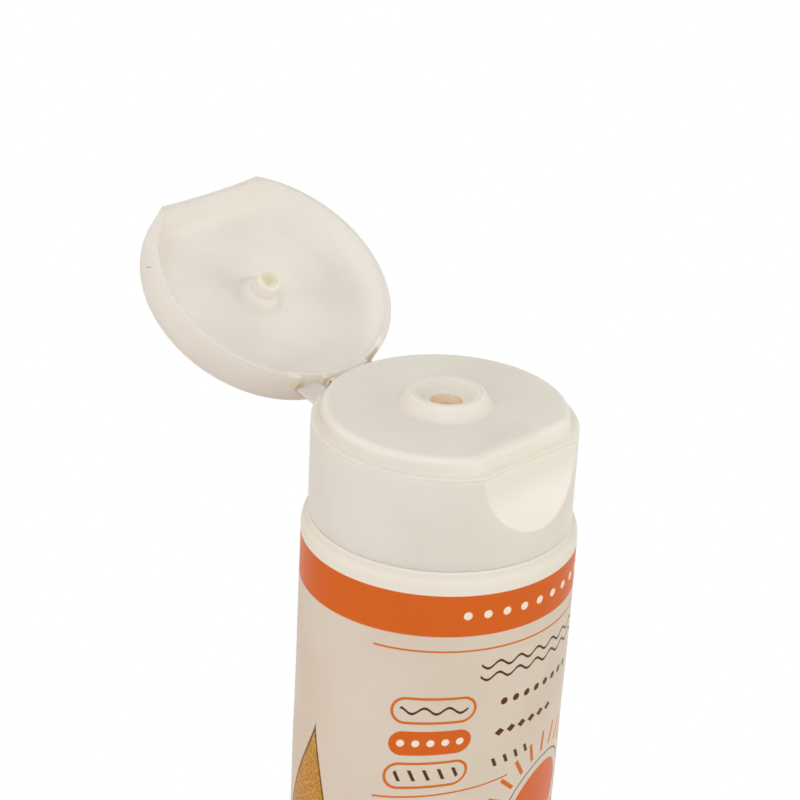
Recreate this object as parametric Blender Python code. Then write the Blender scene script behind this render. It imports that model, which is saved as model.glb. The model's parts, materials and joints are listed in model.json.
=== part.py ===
# Flip-top squeeze tube for sunscreen, standing with its cap up and its lid open.
# The tube is round at the shoulder and flattens to a straight crimped tail.
# The frame has its origin at the middle of the tail's cut edge, +Z towards the cap,
# the front (thumb scoop) at -Y and the lid's hinge at +Y.

import math

import bmesh
import bpy
import numpy as np
from mathutils import Matrix, Vector

mm = 0.001
degree = math.pi / 180

# Clearances shared by pieces that touch on the real tube
fit_gap = 0.3 * mm
overrun = 1.0 * mm

# Sleeve
tube_radius = 17.5 * mm
body_length = 104.0 * mm
sleeve_wall = 0.5 * mm
shoulder_radius = 3.0 * mm
lip_width = 0.8 * mm
crimp_height = 7.0 * mm
flatten_power_share = 1.7
lens_power_share = 4
square_power_share = 30
square_end_share = 0.85
slit_share = 0.995

# Shoulder and neck moulding
head_wall = 1.2 * mm
head_skirt = 3.5 * mm
neck_radius = 7.0 * mm
neck_wall = 1.8 * mm
bead_width = 0.5 * mm
bead_height = 1.6 * mm
bead_drop = 3.0 * mm

# Cap
cap_step = 0.73 * mm
skirt_draft = 0.09 * mm
skirt_wall = 1.1 * mm
ledge_height = 12.15 * mm
ledge_edge_radius = 0.3 * mm
deck_height = 2.22 * mm
deck_edge_radius = 0.9 * mm
deck_corner_radius = 2.2 * mm
plate_thickness = 1.2 * mm
socket_wall = 1.3 * mm
socket_foot = 2.0 * mm
seal_wall = 1.0 * mm
seal_depth = 2.5 * mm

# Nozzle
nozzle_height = 1.9 * mm
nozzle_rim_radius = 4.7 * mm
nozzle_rim_width = 0.55 * mm
nozzle_foot_width = 1.4 * mm
dish_depth = 1.0 * mm
dish_floor_radius = 2.7 * mm
bore_radius = 2.0 * mm

# Thumb scoop, shared by the cap and the lid
scoop_depth = 2.47 * mm
scoop_radius = 16.6 * mm
scoop_plan_radius = 150.0 * mm
scoop_wall = 0.9 * mm

# Lid
lid_height = 6.52 * mm
lid_edge_radius = 2.65 * mm
lid_wall = 0.9 * mm
lid_depth = 4.9 * mm
lid_bowl_radius = 2.5 * mm
lid_corner_radius = 2.5 * mm
plug_reach = 1.2 * mm
plug_wall = 0.6 * mm
plug_hollow = 1.6 * mm
boss_radius = 3.1 * mm
boss_height = 1.3 * mm

# Butterfly hinge: a centre film and a strap on each side
open_angle = 147.9 * degree
hinge_overhang = 0.18 * mm
hinge_rise = 0.4 * mm
film_half_width = 3.2 * mm
film_thickness = 0.3 * mm
film_leg = 0.9 * mm
film_gap = 0.2 * mm
strap_inner = 4.0 * mm
strap_outer = 6.8 * mm
strap_thickness = 0.5 * mm
strap_gap = 0.1 * mm
pocket_gap = 0.25 * mm

# Facets around the round pieces, and rings along the tapering ones
tube_sides = 48
cap_sides = 64
neck_sides = 40
small_sides = 32
chord_sides = 41
arc_steps = 4
outer_rings = 13
inner_rings = 13
barrel_rings = 7
girth_steps = 720
girth_tries = 50
edge_steps = 3
rim_steps = 2
sharp_angle = 35 * degree
quarter = 90

# Sizes that follow from the ones above
cap_radius = tube_radius - cap_step
foot_radius = cap_radius - skirt_draft
fillet_centre = tube_radius - shoulder_radius
foot_reach = foot_radius - fillet_centre
shoulder_rise = shoulder_radius - math.sqrt((shoulder_radius + fit_gap) ** 2 - foot_reach**2)
shoulder_top = body_length + shoulder_rise
body_top = shoulder_top - shoulder_radius
lip_radius = fillet_centre - lip_width
deck_top = ledge_height + deck_height
plate_underside = deck_top - plate_thickness
scoop_chord = cap_radius - scoop_depth
lid_inner_radius = cap_radius - lid_wall
lid_inner_chord = scoop_chord - scoop_wall
deck_radius = lid_inner_radius - fit_gap
deck_chord = lid_inner_chord - fit_gap
rim_height = ledge_height + fit_gap
hinge_y = cap_radius + hinge_overhang
hinge_z = ledge_height + hinge_rise
plug_radius = bore_radius - fit_gap
plug_tip = rim_height + plug_reach
orifice_radius = neck_radius - neck_wall
neck_top = plate_underside - fit_gap
socket_radius = neck_radius + fit_gap
seal_radius = orifice_radius - fit_gap
bead_z = neck_top - bead_drop
zero = (0, 0, 0)
hinge_point = Vector((0, hinge_y, hinge_z))


def clear_scene():
    for thing in list(bpy.data.objects):
        bpy.data.objects.remove(thing)


def make_look(name, colour, roughness):
    look = bpy.data.materials.new(name)
    look.use_nodes = True
    shader = look.node_tree.nodes["Principled BSDF"]
    shader.inputs["Base Color"].default_value = (*colour, 1)
    shader.inputs["Roughness"].default_value = roughness
    shader.inputs["Metallic"].default_value = 0
    return look


def place(name, points, faces, origin, look=None):
    """One closed mesh whose points are given in the same frame as its origin."""
    mesh = bpy.data.meshes.new(name)
    mesh.from_pydata([Vector(point) - Vector(origin) for point in points], [], faces)
    shell = bmesh.new()
    shell.from_mesh(mesh)
    bmesh.ops.recalc_face_normals(shell, faces=shell.faces)
    shell.to_mesh(mesh)
    shell.free()
    mesh.shade_smooth()
    mesh.set_sharp_from_angle(angle=sharp_angle)
    thing = bpy.data.objects.new(name, mesh)
    bpy.context.scene.collection.objects.link(thing)
    if look:
        mesh.materials.append(look)
    return thing


def loft(rings, around=False):
    """Points and faces of a skin over rings of equal count. Its ends are flat, or join when around."""
    count = len(rings[0])
    points = [point for ring in rings for point in ring]
    faces = []
    for index in range(len(rings) if around else len(rings) - 1):
        here = index * count
        there = (index + 1) % len(rings) * count
        for side in range(count):
            after = (side + 1) % count
            faces.append((here + side, here + after, there + after, there + side))
    if not around:
        faces.append(tuple(range(count)))
        faces.append(tuple(range(len(points) - count, len(points))))
    return points, faces


def circle(radius, z, sides):
    turns = [2 * math.pi * step / sides for step in range(sides)]
    return [(radius * math.sin(turn), -radius * math.cos(turn), z) for turn in turns]


def turned(profile, sides, around=False):
    """A solid of revolution about Z through (radius, z) points."""
    return loft([circle(radius, z, sides) for radius, z in profile], around)


def arc(centre_r, centre_z, radius, start, end, steps=arc_steps):
    """(radius, z) points on an arc, with its angles in degrees from the +radius direction."""
    turns = np.linspace(start * degree, end * degree, steps + 1)
    return [(centre_r + radius * math.cos(turn), centre_z + radius * math.sin(turn)) for turn in turns]


def cutter(name, points, faces, origin, carrier):
    tool = place(name, points, faces, origin)
    tool.hide_render = True
    tool.display_type = "WIRE"
    tool.parent = carrier
    return tool


def combine(target, tool, operation):
    step = target.modifiers.new(operation.lower() + "_" + tool.name, "BOOLEAN")
    step.operation = operation
    step.solver = "EXACT"
    step.object = tool


# The tube's outline at a height is a circle that flattens into a lens with the same girth.
def outline(radius, half_depth, share, z, sides):
    lens = share**lens_power_share
    power = 1 - square_end_share * share**square_power_share

    def spread(half_width, turns):
        wave = (1 - lens) * np.sin(turns) + lens * np.arcsin(np.sin(turns)) / (math.pi / 2)
        cosine = np.cos(turns)
        return half_width * wave, -half_depth * np.sign(cosine) * np.abs(cosine) ** power

    dense = np.linspace(0, 2 * math.pi, girth_steps + 1)
    low = half_depth
    high = math.pi * radius
    for _ in range(girth_tries):
        middle = (low + high) / 2
        x, y = spread(middle, dense)
        if np.hypot(np.diff(x), np.diff(y)).sum() < 2 * math.pi * radius:
            low = middle
        else:
            high = middle
    x, y = spread(low, np.arange(sides) * 2 * math.pi / sides)
    return [(float(across), float(deep), z) for across, deep in zip(x, y)]


def body_ring(inset, share, sides):
    """The tube's outline, share of the way from the shoulder to the crimp, moved in by inset."""
    round_radius = tube_radius - sleeve_wall
    half_depth = round_radius * (1 - share**flatten_power_share) + sleeve_wall - inset
    z = body_top + (crimp_height - body_top) * share
    return outline(tube_radius - inset, half_depth, share, z, sides)


# Closed rings with a straight front chord and rounded corners, for the deck and the lid's hollow
def chord_ring(radius, chord, corner, z, sides):
    centre_y = corner - chord
    centre_x = math.sqrt(max((radius - corner) ** 2 - centre_y**2, 0))
    swing = math.atan2(centre_x, -centre_y)
    points = []
    for turn in np.linspace(swing, 2 * math.pi - swing, sides):
        points.append((radius * math.sin(turn), -radius * math.cos(turn), z))
    for side in (-1, 1):
        bends = np.linspace(swing if side < 0 else 0, 0 if side < 0 else swing, arc_steps)
        for bend in bends[1:-1] if side > 0 else bends[1:]:
            x = side * (centre_x + corner * math.sin(bend))
            points.append((x, centre_y - corner * math.cos(bend), z))
        if side < 0:
            points.append((0, centre_y - corner, z))
            points.append((centre_x, centre_y - corner, z))
    return points


def inner_shares():
    """Where the rings of the sleeve's inside lie, from the shoulder down, and the cream's too."""
    return slit_share * np.linspace(0, 1, inner_rings)


def make_sleeve(look):
    tail = outline(tube_radius, sleeve_wall, 1, 0, tube_sides)
    shares = np.linspace(1, 0, outer_rings)
    rings = [tail]
    rings += [body_ring(0, share, tube_sides) for share in shares]
    for radius, z in arc(fillet_centre, body_top, shoulder_radius, 0, quarter)[1:]:
        rings.append(circle(radius, z, tube_sides))
    rings.append(circle(lip_radius, shoulder_top, tube_sides))
    rings.append(circle(lip_radius, shoulder_top - sleeve_wall, tube_sides))
    for radius, z in arc(fillet_centre, body_top, shoulder_radius - sleeve_wall, quarter, 0)[:-1]:
        rings.append(circle(radius, z, tube_sides))
    rings += [body_ring(sleeve_wall, share, tube_sides) for share in inner_shares()]
    points, faces = loft(rings)
    return place("tube_sleeve", points, faces, zero, look)


def make_head(look):
    plug = shoulder_radius - sleeve_wall - fit_gap
    flange_radius = fillet_centre + plug
    flange_foot = body_top - head_skirt
    collar = lip_radius - fit_gap
    underside = body_top + plug - head_wall
    profile = [
        (orifice_radius, underside),
        (orifice_radius, body_length + neck_top),
        (neck_radius, body_length + neck_top),
        (neck_radius, body_length + bead_z + bead_height / 2),
        (neck_radius + bead_width, body_length + bead_z),
        (neck_radius, body_length + bead_z - bead_height / 2),
        (neck_radius, shoulder_top),
        (collar, shoulder_top),
        (collar, body_top + plug),
    ]
    profile += arc(fillet_centre, body_top, plug, quarter, 0)
    profile += [
        (flange_radius, flange_foot),
        (flange_radius - head_wall, flange_foot),
        (flange_radius - head_wall, body_top),
        (fillet_centre, underside),
    ]
    points, faces = turned(profile, neck_sides, around=True)
    return place("tube_head", points, faces, zero, look)


# What follows is given in the cap's own frame, whose origin is the middle of the skirt's foot.
def scoop_barrel(grow):
    """A barrel across the front, whose side cuts the thumb scoop; it is thickest at the middle."""
    centre_y = -(scoop_chord + scoop_radius)
    turns = [2 * math.pi * step / cap_sides for step in range(cap_sides)]
    rings = []
    for x in np.linspace(-cap_radius, cap_radius, barrel_rings):
        radius = scoop_radius + grow - x * x / (2 * scoop_plan_radius)
        ring = [(radius * math.cos(turn), radius * math.sin(turn)) for turn in turns]
        rings.append([(x, centre_y + y, ledge_height + z) for y, z in ring])
    return loft(rings)


class Strap:
    """One strap's plane in the closed cap. Its fold lines start where that plane meets the hinge axis."""

    def __init__(self, side):
        self.side = side
        edges = (strap_inner, strap_outer)
        back_y = [math.sqrt(cap_radius**2 - x * x) - strap_thickness / 2 for x in edges]
        self.slope = (back_y[0] - back_y[1]) / (strap_outer - strap_inner)
        self.apex_x = strap_inner - (hinge_y - back_y[0]) / self.slope
        self.lift = math.tan(math.pi / 2 - open_angle / 4)
        self.apex = Vector((side * self.apex_x, hinge_y, hinge_z))
        self.along = Vector((side, -self.slope, 0)).normalized()
        self.outward = Vector((side * self.slope, 1, 0)).normalized()
        self.fold = Vector((side, -self.slope, -self.lift * self.slope)).normalized()

    def fold_angle(self):
        """How far the strap turns about its fold on the cap while the lid goes from open to closed."""
        lid_fold = Vector((self.fold.x, self.fold.y, -self.fold.z))
        opened = Matrix.Rotation(-open_angle, 3, "X") @ lid_fold
        before = (opened - self.fold * opened.dot(self.fold)).normalized()
        after = (lid_fold - self.fold * lid_fold.dot(self.fold)).normalized()
        return math.atan2(self.fold.dot(before.cross(after)), before.dot(after))

    def slab(self, grow, depth_in, depth_out):
        """The strap's trapezoid grown by a margin, from depth_in under its middle to depth_out over it."""
        run = math.sqrt(1 + self.slope**2)
        steep = self.lift * self.slope / run
        spare = grow * math.sqrt(1 + steep**2)
        points = []
        for height in (-depth_in, depth_out):
            for x, way in ((strap_inner, -1), (strap_outer, 1)):
                s = (x - self.apex_x) * run + way * grow
                rise = max(s * steep + spare, strap_gap)
                for up in ((-1, 1) if way < 0 else (1, -1)):
                    spot = self.apex + self.along * s + self.outward * height
                    points.append(spot + Vector((0, 0, up * rise)))
        faces = [(0, 1, 2, 3), (4, 5, 6, 7), (0, 1, 5, 4), (1, 2, 6, 5), (2, 3, 7, 6), (3, 0, 4, 7)]
        return points, faces


def film_notch(up):
    """The seat of the centre film's leg in the back of the cap, or of the lid when up is 1."""
    half = film_half_width + film_gap
    back = hinge_y + overrun
    front = cap_radius - film_thickness - film_gap
    start = hinge_z - up * hinge_rise - up * overrun
    end = hinge_z + up * (hinge_rise + film_leg + film_gap)
    low = min(start, end)
    high = max(start, end)
    corners = ((-half, front), (half, front), (half, back), (-half, back))
    return loft([[(x, y, z) for x, y in corners] for z in (low, high)])


def carve_hinge_seats(target, origin, up):
    points, faces = film_notch(up)
    combine(target, cutter(target.name + "_film_seat", points, faces, origin, target), "DIFFERENCE")
    for side, word in ((-1, "left"), (1, "right")):
        inside = strap_thickness / 2 + pocket_gap
        points, faces = Strap(side).slab(pocket_gap, inside, inside + overrun)
        pocket = cutter(target.name + "_" + word + "_pocket", points, faces, origin, target)
        combine(target, pocket, "DIFFERENCE")


def make_cap(look):
    foot_slope = fit_gap + shoulder_rise
    profile = [(deck_radius / 2, ledge_height)]
    edge = ledge_edge_radius
    profile += arc(cap_radius - edge, ledge_height - edge, edge, quarter, 0, edge_steps)
    profile += [(foot_radius, 0)]
    profile += [(foot_radius - skirt_wall, foot_slope), (deck_radius / 2, foot_slope)]
    points, faces = turned(profile, cap_sides)
    cap = place("cap_body", points, faces, zero, look)
    cap.location.z = body_length

    corner = deck_corner_radius
    rings = [chord_ring(deck_radius, deck_chord, corner, ledge_height - skirt_wall, chord_sides)]
    for inset, z in arc(0, deck_top - deck_edge_radius, deck_edge_radius, 0, quarter):
        shrink = deck_edge_radius - inset
        rings.append(chord_ring(deck_radius - shrink, deck_chord - shrink, corner, z, chord_sides))
    points, faces = loft(rings)
    combine(cap, cutter("deck_form", points, faces, zero, cap), "UNION")

    rim_top = deck_top + nozzle_height
    foot = nozzle_rim_radius + nozzle_foot_width
    half_rim = nozzle_rim_width / 2
    side_height = nozzle_height - half_rim
    profile = [(foot, deck_top - plate_thickness / 2), (foot, deck_top)]
    for turn in np.linspace(0, math.pi / 2, arc_steps + 1)[1:]:
        inward = nozzle_foot_width * math.sin(turn)
        profile.append((foot - inward, deck_top + side_height * (1 - math.cos(turn))))
    bead_r = nozzle_rim_radius - half_rim
    profile += arc(bead_r, rim_top - half_rim, half_rim, quarter / 2, quarter, rim_steps)
    points, faces = turned(profile, small_sides)
    combine(cap, cutter("nozzle_form", points, faces, zero, cap), "UNION")

    dish_floor = rim_top - dish_depth
    profile = [
        (bore_radius, plate_underside - overrun),
        (bore_radius, dish_floor - dish_depth / 4),
        (dish_floor_radius, dish_floor),
        (nozzle_rim_radius - nozzle_rim_width, rim_top),
        (nozzle_rim_radius - nozzle_rim_width, rim_top + overrun),
    ]
    points, faces = turned(profile, small_sides)
    combine(cap, cutter("bore_cutter", points, faces, zero, cap), "DIFFERENCE")

    combine(cap, make_cap_hollow(cap), "DIFFERENCE")
    points, faces = scoop_barrel(0)
    combine(cap, cutter("cap_scoop_cutter", points, faces, zero, cap), "DIFFERENCE")
    carve_hinge_seats(cap, zero, -1)
    return cap


def make_cap_hollow(cap):
    """The space inside the cap, which leaves its skirt, plate, neck socket and seal ring standing."""
    hollow_radius = foot_radius - skirt_wall
    step_z = ledge_height - plate_thickness
    points, faces = turned([(hollow_radius, -overrun), (hollow_radius, step_z)], cap_sides)
    hollow = cutter("cap_hollow", points, faces, zero, cap)
    points, faces = scoop_barrel(skirt_wall)
    combine(hollow, cutter("scoop_back", points, faces, zero, cap), "DIFFERENCE")
    recess_radius = deck_radius - skirt_wall
    recess_chord = deck_chord - skirt_wall
    corner = deck_corner_radius
    ends = (step_z - overrun, plate_underside)
    recess = [chord_ring(recess_radius, recess_chord, corner, z, chord_sides) for z in ends]
    points, faces = loft(recess)
    combine(hollow, cutter("deck_recess", points, faces, zero, cap), "UNION")
    groove = bead_width + fit_gap
    bead_half = bead_height / 2 + fit_gap
    ceiling = plate_underside + overrun
    profile = [
        (socket_radius, socket_foot),
        (socket_radius, bead_z - bead_half),
        (neck_radius + groove, bead_z),
        (socket_radius, bead_z + bead_half),
        (socket_radius, ceiling),
        (neck_radius + groove + socket_wall, ceiling),
        (neck_radius + groove + socket_wall, socket_foot),
    ]
    points, faces = turned(profile, neck_sides, around=True)
    combine(hollow, cutter("neck_socket_form", points, faces, zero, cap), "DIFFERENCE")
    seal_end = plate_underside - seal_depth
    profile = [(seal_radius, ceiling), (seal_radius, seal_end)]
    profile += [(seal_radius - seal_wall, seal_end), (seal_radius - seal_wall, ceiling)]
    points, faces = turned(profile, small_sides, around=True)
    combine(hollow, cutter("seal_ring_form", points, faces, zero, cap), "DIFFERENCE")
    return hollow


def make_lid(look):
    top = rim_height + lid_height
    profile = [(cap_radius / 2, rim_height), (cap_radius, rim_height)]
    profile += arc(cap_radius - lid_edge_radius, top - lid_edge_radius, lid_edge_radius, 0, quarter)
    profile += [(cap_radius / 2, top)]
    points, faces = turned(profile, cap_sides)
    lid = place("flip_lid", points, faces, hinge_point, look)
    lid.location = hinge_point + Vector((0, 0, body_length))
    lid.rotation_euler.x = -open_angle

    points, faces = scoop_barrel(0)
    combine(lid, cutter("lid_scoop_cutter", points, faces, hinge_point, lid), "DIFFERENCE")

    ceiling = rim_height + lid_depth
    corner = lid_corner_radius
    rings = [chord_ring(lid_inner_radius, lid_inner_chord, corner, rim_height - overrun, chord_sides)]
    for inset, z in arc(0, ceiling - lid_bowl_radius, lid_bowl_radius, 0, quarter):
        shrink = lid_bowl_radius - inset
        radius = lid_inner_radius - shrink
        rings.append(chord_ring(radius, lid_inner_chord - shrink, corner, z, chord_sides))
    points, faces = loft(rings)
    combine(lid, cutter("lid_hollow", points, faces, hinge_point, lid), "DIFFERENCE")

    profile = [
        (boss_radius, ceiling + (lid_height - lid_depth) / 2),
        (boss_radius, ceiling),
        (plug_radius + plug_wall, ceiling - boss_height),
        (plug_radius, ceiling - boss_height - plug_wall / 2),
        (plug_radius, plug_tip + plug_wall / 2),
        (plug_radius - plug_wall / 4, plug_tip),
        (plug_radius - plug_wall, plug_tip),
        (plug_radius - plug_wall, plug_tip + plug_hollow),
    ]
    points, faces = turned(profile, small_sides)
    combine(lid, cutter("plug_form", points, faces, hinge_point, lid), "UNION")
    carve_hinge_seats(lid, hinge_point, 1)
    return lid


def make_strap(side, word, look):
    strap = Strap(side)
    half = strap_thickness / 2
    points, faces = strap.slab(-strap_gap, half, half)
    piece = place("hinge_strap_" + word, points, faces, strap.apex, look)
    turn = Matrix.Rotation(-strap.fold_angle(), 4, strap.fold)
    piece.matrix_world = Matrix.Translation(strap.apex + Vector((0, 0, body_length))) @ turn
    return piece


def make_film(look):
    """The centre film folded over the hinge axis, as it lies with the lid open."""
    leg_y = hinge_y - cap_radius + film_thickness / 2
    foot = Vector((-leg_y, -(hinge_rise + film_leg)))
    bend = Vector((-leg_y, -hinge_rise))
    pull = Vector((-leg_y, film_thickness / 4))
    axis = Vector((math.cos(open_angle / 2), -math.sin(open_angle / 2)))
    mirror = [2 * point.dot(axis) * axis - point for point in (pull, bend, foot)]
    path = [foot]
    for t in np.linspace(0, 1, 2 * arc_steps + 1):
        weights = ((1 - t) ** 3, 3 * t * (1 - t) ** 2, 3 * t * t * (1 - t), t**3)
        corners = (bend, pull, mirror[0], mirror[1])
        steps = [corner * float(weight) for corner, weight in zip(corners, weights)]
        path.append(sum(steps, Vector((0, 0))))
    path.append(mirror[2])
    rings = []
    for index, spot in enumerate(path):
        ahead = (path[min(index + 1, len(path) - 1)] - path[max(index - 1, 0)]).normalized()
        normal = Vector((-ahead.y, ahead.x)) * film_thickness / 2
        ring = []
        for across, way in ((-1, -1), (1, -1), (1, 1), (-1, 1)):
            edge = spot + way * normal
            ring.append((across * film_half_width, hinge_y + edge.x, hinge_z + edge.y))
        rings.append(ring)
    points, faces = loft(rings)
    film = place("hinge_film", points, faces, hinge_point, look)
    film.location = hinge_point + Vector((0, 0, body_length))
    return film


def make_fill(look):
    inset = sleeve_wall + fit_gap
    throat = orifice_radius - fit_gap
    plug = shoulder_radius - sleeve_wall - fit_gap
    shoulder_floor = body_top + plug - head_wall - fit_gap
    shoulder_r = fillet_centre - fit_gap
    inner = fillet_centre + plug - head_wall - fit_gap
    seal_floor = body_length + plate_underside - seal_depth - fit_gap
    seal_throat = seal_radius - seal_wall - fit_gap
    bore_foot = body_length + plate_underside - fit_gap
    cream_top = body_length + plug_tip - fit_gap
    head_floor = body_top - head_skirt - fit_gap
    steps = [(bore_radius - fit_gap, cream_top), (bore_radius - fit_gap, bore_foot)]
    steps += [(seal_throat, bore_foot), (seal_throat, seal_floor), (throat, seal_floor)]
    steps += [(throat, shoulder_floor), (shoulder_r, shoulder_floor), (inner, body_top - fit_gap)]
    steps += [(inner, head_floor)]
    rings = [circle(radius, z, tube_sides) for radius, z in steps]
    rings += [body_ring(inset, share, tube_sides) for share in inner_shares()[1:-1]]
    points, faces = loft(rings)
    return place("sunscreen_fill", points, faces, zero, look)


def main():
    clear_scene()
    shell = make_look("tube_laminate", (0.76, 0.68, 0.59), 0.38)
    moulding = make_look("head_plastic", (0.8, 0.78, 0.74), 0.5)
    white = make_look("cap_plastic", (0.82, 0.76, 0.68), 0.35)
    lid_white = make_look("lid_plastic", (0.82, 0.76, 0.69), 0.35)
    hinge_white = make_look("hinge_plastic", (0.8, 0.74, 0.66), 0.4)
    cream = make_look("sunscreen_cream", (0.82, 0.52, 0.36), 0.3)
    make_sleeve(shell)
    make_head(moulding)
    make_cap(white)
    make_lid(lid_white)
    make_film(hinge_white)
    make_strap(-1, "left", hinge_white)
    make_strap(1, "right", hinge_white)
    make_fill(cream)


main()
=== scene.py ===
# Flip-top squeeze tube of sun cream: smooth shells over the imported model, print, lights and camera
import functools
import json
import math

import bmesh
import bpy
import numpy as np
from mathutils import Matrix, Vector


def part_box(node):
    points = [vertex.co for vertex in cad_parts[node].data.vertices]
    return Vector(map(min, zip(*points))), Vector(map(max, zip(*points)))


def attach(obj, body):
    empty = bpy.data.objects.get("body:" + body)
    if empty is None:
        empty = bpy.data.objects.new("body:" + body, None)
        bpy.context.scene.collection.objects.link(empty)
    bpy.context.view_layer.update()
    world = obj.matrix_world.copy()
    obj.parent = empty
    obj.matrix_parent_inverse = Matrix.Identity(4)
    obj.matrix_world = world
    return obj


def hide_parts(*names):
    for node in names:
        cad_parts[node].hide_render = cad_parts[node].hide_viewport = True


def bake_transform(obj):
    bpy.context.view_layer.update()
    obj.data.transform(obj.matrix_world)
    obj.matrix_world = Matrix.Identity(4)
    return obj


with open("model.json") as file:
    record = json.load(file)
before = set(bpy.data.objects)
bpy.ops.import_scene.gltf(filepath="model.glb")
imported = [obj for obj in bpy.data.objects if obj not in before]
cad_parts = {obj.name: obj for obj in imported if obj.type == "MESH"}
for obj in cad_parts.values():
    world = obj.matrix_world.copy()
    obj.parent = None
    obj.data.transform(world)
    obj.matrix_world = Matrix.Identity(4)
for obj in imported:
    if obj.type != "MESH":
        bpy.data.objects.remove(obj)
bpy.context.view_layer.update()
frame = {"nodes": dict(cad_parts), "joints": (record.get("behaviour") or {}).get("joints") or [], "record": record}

joints = {joint["name"]: joint for joint in frame["joints"]}
mm = 0.001
degree = math.pi / 180
merging = {"distance": 0.0005 * mm, "sliver": 0.00005 * mm}
bisections = 40
refinements = 8
print("frame loaded with", len(frame["nodes"]), "nodes")

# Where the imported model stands: the cap's foot and radius, the sleeve's radius and the lid's hinge
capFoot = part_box("cap_body")[0].z
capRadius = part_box("cap_body")[1].x
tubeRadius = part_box("tube_sleeve")[1].y
hingePlace = Vector(joints["lid_hinge"]["pos_m"])
openAngle = joints["lid_hinge"]["range_deg"][1] * degree
hingeY = hingePlace.y
hingeZ = hingePlace.z - capFoot

# Sizes of the closure; every height counts from the foot of the cap's skirt
closure = {
    "ledge": 12.15 * mm,
    "deckRise": 2.22 * mm,
    "gap": 0.3 * mm,
    "scoopDepth": 2.47 * mm,
    "scoopRadius": 16.6 * mm,
    "scoopPlanRadius": 150 * mm,
    "scoopEdge": 0.28 * mm,
    "leastFacing": 0.3,
    "lidWall": 0.9 * mm,
    "frontColumns": 131,
    "sideColumns": 34,
    "sideEnd": 52 * degree,
    "backColumns": 210,
}
ledge = closure["ledge"]
deckTop = ledge + closure["deckRise"]
scoopChord = capRadius - closure["scoopDepth"]
lidInnerRadius = capRadius - closure["lidWall"]
lidInnerChord = scoopChord - closure["lidWall"]


# A closed skin over a grid of points (rows, columns, 3). The columns join round, and so do the rows when
# wrapRows is set. A row that shrinks to a point or folds onto itself closes there.
def gridSkin(name, rows, wrapRows=False, uv=None):
    count, columns = rows.shape[:2]
    index = np.arange(count * columns).reshape(count, columns)
    here = index if wrapRows else index[:-1]
    there = np.roll(index, -1, 0) if wrapRows else index[1:]
    quads = np.stack([here, np.roll(here, -1, 1), np.roll(there, -1, 1), there], -1).reshape(-1, 4)
    mesh = bpy.data.meshes.new(name)
    mesh.from_pydata(rows.reshape(-1, 3), [], quads.tolist())
    if uv is not None:
        across, along = uv
        following = np.roll(across, -1, 1)
        following[:, -1] += 1
        corners = [
            (across[:-1], along[:-1]),
            (following[:-1], along[:-1]),
            (following[1:], along[1:]),
            (across[1:], along[1:]),
        ]
        flat = np.stack([np.stack(corner, -1) for corner in corners], 2).reshape(-1)
        mesh.uv_layers.new(name="sleeveMap").data.foreach_set("uv", flat.astype(np.float32))
    return finished(name, mesh)


# Merges doubles, drops faces without area, turns the faces outwards and shades them smooth
def finished(name, mesh):
    shell = bmesh.new()
    shell.from_mesh(mesh)
    bmesh.ops.remove_doubles(shell, verts=shell.verts, dist=merging["distance"])
    bmesh.ops.dissolve_degenerate(shell, edges=shell.edges, dist=merging["sliver"])
    bmesh.ops.recalc_face_normals(shell, faces=shell.faces)
    shell.to_mesh(mesh)
    shell.free()
    mesh.shade_smooth()
    piece = bpy.data.objects.new(name, mesh)
    bpy.context.scene.collection.objects.link(piece)
    return piece


softening = {"most": 0.45, "support": 1.08, "points": 6, "shortest": 1e-9}


# The first part of a step towards a neighbour, which is as long as reach but at most a share of the step
def pulled(step, reach):
    length = np.maximum(np.hypot(*step.T), softening["shortest"])
    return step * np.minimum(reach / length, softening["most"])[:, None]


# Radius and height rows from stations (radius, height, reach), each value plain or one per column. A
# station with a reach becomes a curve from that far before it to that far after it, between support rows.
def softRows(stations, columns, wrapRows=False):
    places = []
    for radius, height, _ in stations:
        place = np.empty((columns, 2))
        place[:, 0] = radius
        place[:, 1] = height
        places.append(place)
    rows = []
    for number, (place, station) in enumerate(zip(places, stations)):
        reach = station[2]
        inside = wrapRows or 0 < number < len(places) - 1
        if reach == 0 or not inside:
            rows.append(place)
            continue
        back = pulled(places[number - 1] - place, reach)
        ahead = pulled(places[(number + 1) % len(places)] - place, reach)
        rows.append(place + back * softening["support"])
        for t in np.linspace(0, 1, softening["points"]):
            rows.append(place + back * (1 - t) ** 2 + ahead * t**2)
        rows.append(place + ahead * softening["support"])
    return np.array(rows)


# Turns rows of (radius, height) into points: x = radius sin(turn), y = -radius cos(turn)
def spun(rows, turns):
    radius = rows[..., 0]
    return np.stack([radius * np.sin(turns), -radius * np.cos(turns), rows[..., 1]], -1)


# Column angles round the closure, crowded towards the two corners of the scoop
def closureTurns():
    corner = math.acos(scoopChord / capRadius)
    for _ in range(refinements):
        bulge = (capRadius * math.sin(corner)) ** 2 / (2 * closure["scoopPlanRadius"])
        corner = math.acos((scoopChord + bulge) / capRadius)
    front = corner * np.sin(np.linspace(-1, 1, closure["frontColumns"]) * math.pi / 2)
    side = np.linspace(corner, closure["sideEnd"], closure["sideColumns"])[1:]
    back = np.linspace(closure["sideEnd"], 2 * math.pi - closure["sideEnd"], closure["backColumns"])[1:-1]
    return np.concatenate([front, side, back, 2 * math.pi - side[::-1]])


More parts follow.
